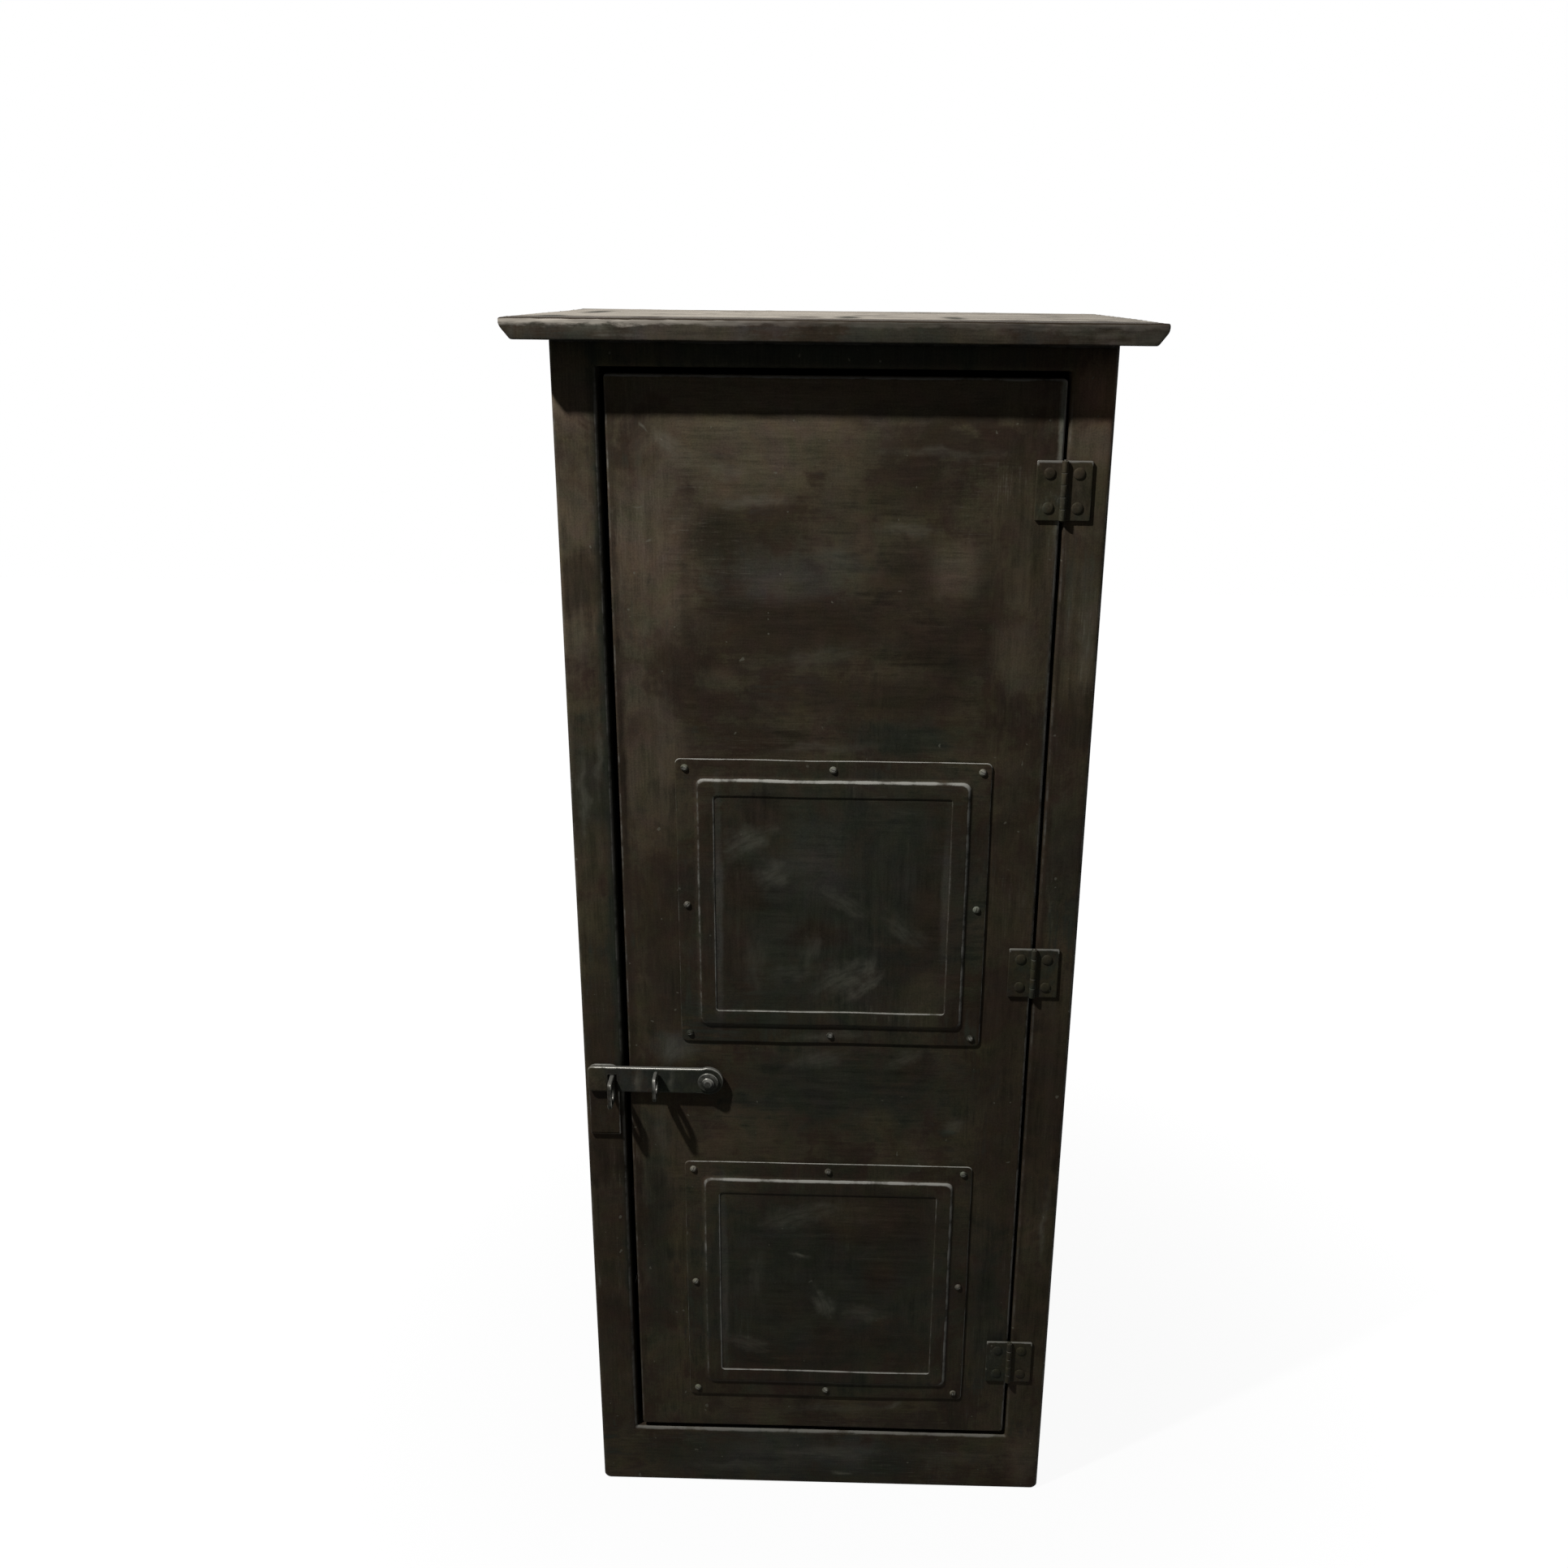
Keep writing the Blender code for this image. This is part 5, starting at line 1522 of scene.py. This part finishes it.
# Camera fitted to the photograph, with its focal length and the middle of its view in the photograph's pixels
PHOTO_WIDTH = 1932
FOCAL_PIXELS = 1784.0
MIDDLE_PIXEL = 1011.2
SENSOR = 36.0
CAMERA_PLACE = (0.024, -1.787, 1.576)
CAMERA_RIGHT = (0.99967, 0.02384, 0.00940)
CAMERA_UP = (-0.01668, 0.32676, 0.94496)
CAMERA_BACK = (0.01946, -0.94481, 0.32705)
KEY_PLACE = (-1.40, -1.185, 3.30)
KEY_AIM = (0.0, -0.2, 0.95)
WHITE = (1.0, 1.0, 1.0)
# Half width of the floor, and how much of its look is plain white to the camera
FLOOR_REACH = 6
FLOOR_WHITENESS = 0.86


def seen(w):
    """One for the rays of the camera and of reflections, and zero for those that light the cabinet."""
    path = w.node("ShaderNodeLightPath")
    mirrored = w.math("MAXIMUM", path["Is Glossy Ray"], path["Is Transmission Ray"])
    return w.math("MAXIMUM", path["Is Camera Ray"], mirrored)


class CABINET_OT_stage(bpy.types.Operator):
    """Sets the pale floor, the studio light and the camera"""

    bl_idname = "cabinet.stage"
    bl_label = "Stage"

    def execute(self, context):
        self.camera(context.scene)
        self.lamp(context.scene)
        self.surround(context.scene)
        self.floor(context.scene)
        context.scene.view_settings.view_transform = "Standard"
        return {"FINISHED"}

    def camera(self, scene):
        """The camera at the photograph's viewing angle."""
        data = bpy.data.cameras.new("camera")
        data.sensor_width = SENSOR
        data.lens = FOCAL_PIXELS * SENSOR / PHOTO_WIDTH
        data.shift_x = (PHOTO_WIDTH / 2 - MIDDLE_PIXEL) / PHOTO_WIDTH
        camera = bpy.data.objects.new("camera", data)
        turn = Matrix((CAMERA_RIGHT, CAMERA_UP, CAMERA_BACK)).transposed().to_4x4()
        camera.matrix_world = Matrix.Translation(CAMERA_PLACE) @ turn
        scene.collection.objects.link(camera)
        scene.camera = camera

    def lamp(self, scene):
        """One soft lamp above, in front and to the left."""
        data = bpy.data.lights.new("key_lamp", "AREA")
        data.shape = "DISK"
        data.size = scene.cabinet_stage.key_size
        data.energy = scene.cabinet_stage.key_power
        lamp = bpy.data.objects.new("key_lamp", data)
        lamp.location = KEY_PLACE
        lamp.rotation_euler = (Vector(KEY_AIM) - Vector(KEY_PLACE)).to_track_quat("-Z", "Y").to_euler()
        scene.collection.objects.link(lamp)

    def surround(self, scene):
        """White all round for the camera and for reflections, and a low even fill for everything else."""
        world = bpy.data.worlds.new("studio")
        world.use_nodes = True
        world.node_tree.nodes.clear()
        w = Wiring(world.node_tree)
        level = w.blend(seen(w), scene.cabinet_stage.fill, 1.0)
        background = w.node("ShaderNodeBackground", {"Color": WHITE, "Strength": level})
        w.node("ShaderNodeOutputWorld", {"Surface": background["Background"]})
        scene.world = world

    def floor(self, scene):
        """A pale floor that keeps the cabinet's soft shadow and is white to the camera elsewhere."""
        side = np.arange(-FLOOR_REACH, FLOOR_REACH + 1.0)
        across, back = np.meshgrid(side, side)
        points = placed(across, back, 0.0, "top").reshape(-1, 3)
        mesh = bpy.data.meshes.new("floor")
        mesh.from_pydata(points.tolist(), [], grid_faces(len(side), len(side), wrap=False))
        material = bpy.data.materials.new("floor")
        material.use_nodes = True
        material.node_tree.nodes.clear()
        w = Wiring(material.node_tree)
        matt = w.node("ShaderNodeBsdfDiffuse", {"Color": scene.cabinet_colours.floor})["BSDF"]
        away = w.length(w.node("ShaderNodeTexCoord")["Object"])
        glow = {"Color": WHITE, "Strength": w.between(away, 0.3, 1.6, 1.1, 1.2)}
        white = w.node("ShaderNodeEmission", glow)["Emission"]
        surface = w.node("ShaderNodeMixShader", {0: seen(w) * FLOOR_WHITENESS, 1: matt, 2: white})
        w.node("ShaderNodeOutputMaterial", {"Surface": surface["Shader"]})
        mesh.materials.append(material)
        floor = bpy.data.objects.new("floor", mesh)
        scene.collection.objects.link(floor)


BUILDERS = (
    CABINET_OT_front_frame,
    CABINET_OT_sheets,
    CABINET_OT_top_board,
    CABINET_OT_inside,
    CABINET_OT_door,
    CABINET_OT_pressed_plates,
    CABINET_OT_plate_screws,
    CABINET_OT_hinges,
    CABINET_OT_latch,
    CABINET_OT_keeper,
    CABINET_OT_stage,
)
SETTINGS = {"cabinet_sizes": CabinetSizes, "cabinet_colours": CabinetColours, "cabinet_stage": StageSettings}


class VIEW3D_PT_cabinet(bpy.types.Panel):
    """Lists the cabinet's pieces and their settings"""

    bl_label = "Worn Metal Cabinet"
    bl_space_type = "VIEW_3D"
    bl_region_type = "UI"
    bl_category = "Cabinet"

    def draw(self, context):
        for builder in BUILDERS:
            self.layout.operator(builder.bl_idname)
        for name, group in SETTINGS.items():
            settings = getattr(context.scene, name)
            for key in group.__annotations__:
                self.layout.prop(settings, key)


CLASSES = (*SETTINGS.values(), *BUILDERS, VIEW3D_PT_cabinet)


def register():
    """Registers the settings, the operators and the panel."""
    for cls in CLASSES:
        bpy.utils.register_class(cls)
    for name, group in SETTINGS.items():
        setattr(bpy.types.Scene, name, bpy.props.PointerProperty(type=group))


def unregister():
    """Takes back what register made."""
    for name in SETTINGS:
        delattr(bpy.types.Scene, name)
    for cls in reversed(CLASSES):
        bpy.utils.unregister_class(cls)


def main():
    """Builds every piece in order."""
    register()
    for builder in BUILDERS:
        group, name = builder.bl_idname.split(".")
        getattr(getattr(bpy.ops, group), name)()
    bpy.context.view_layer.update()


if __name__ == "__main__":
    main()
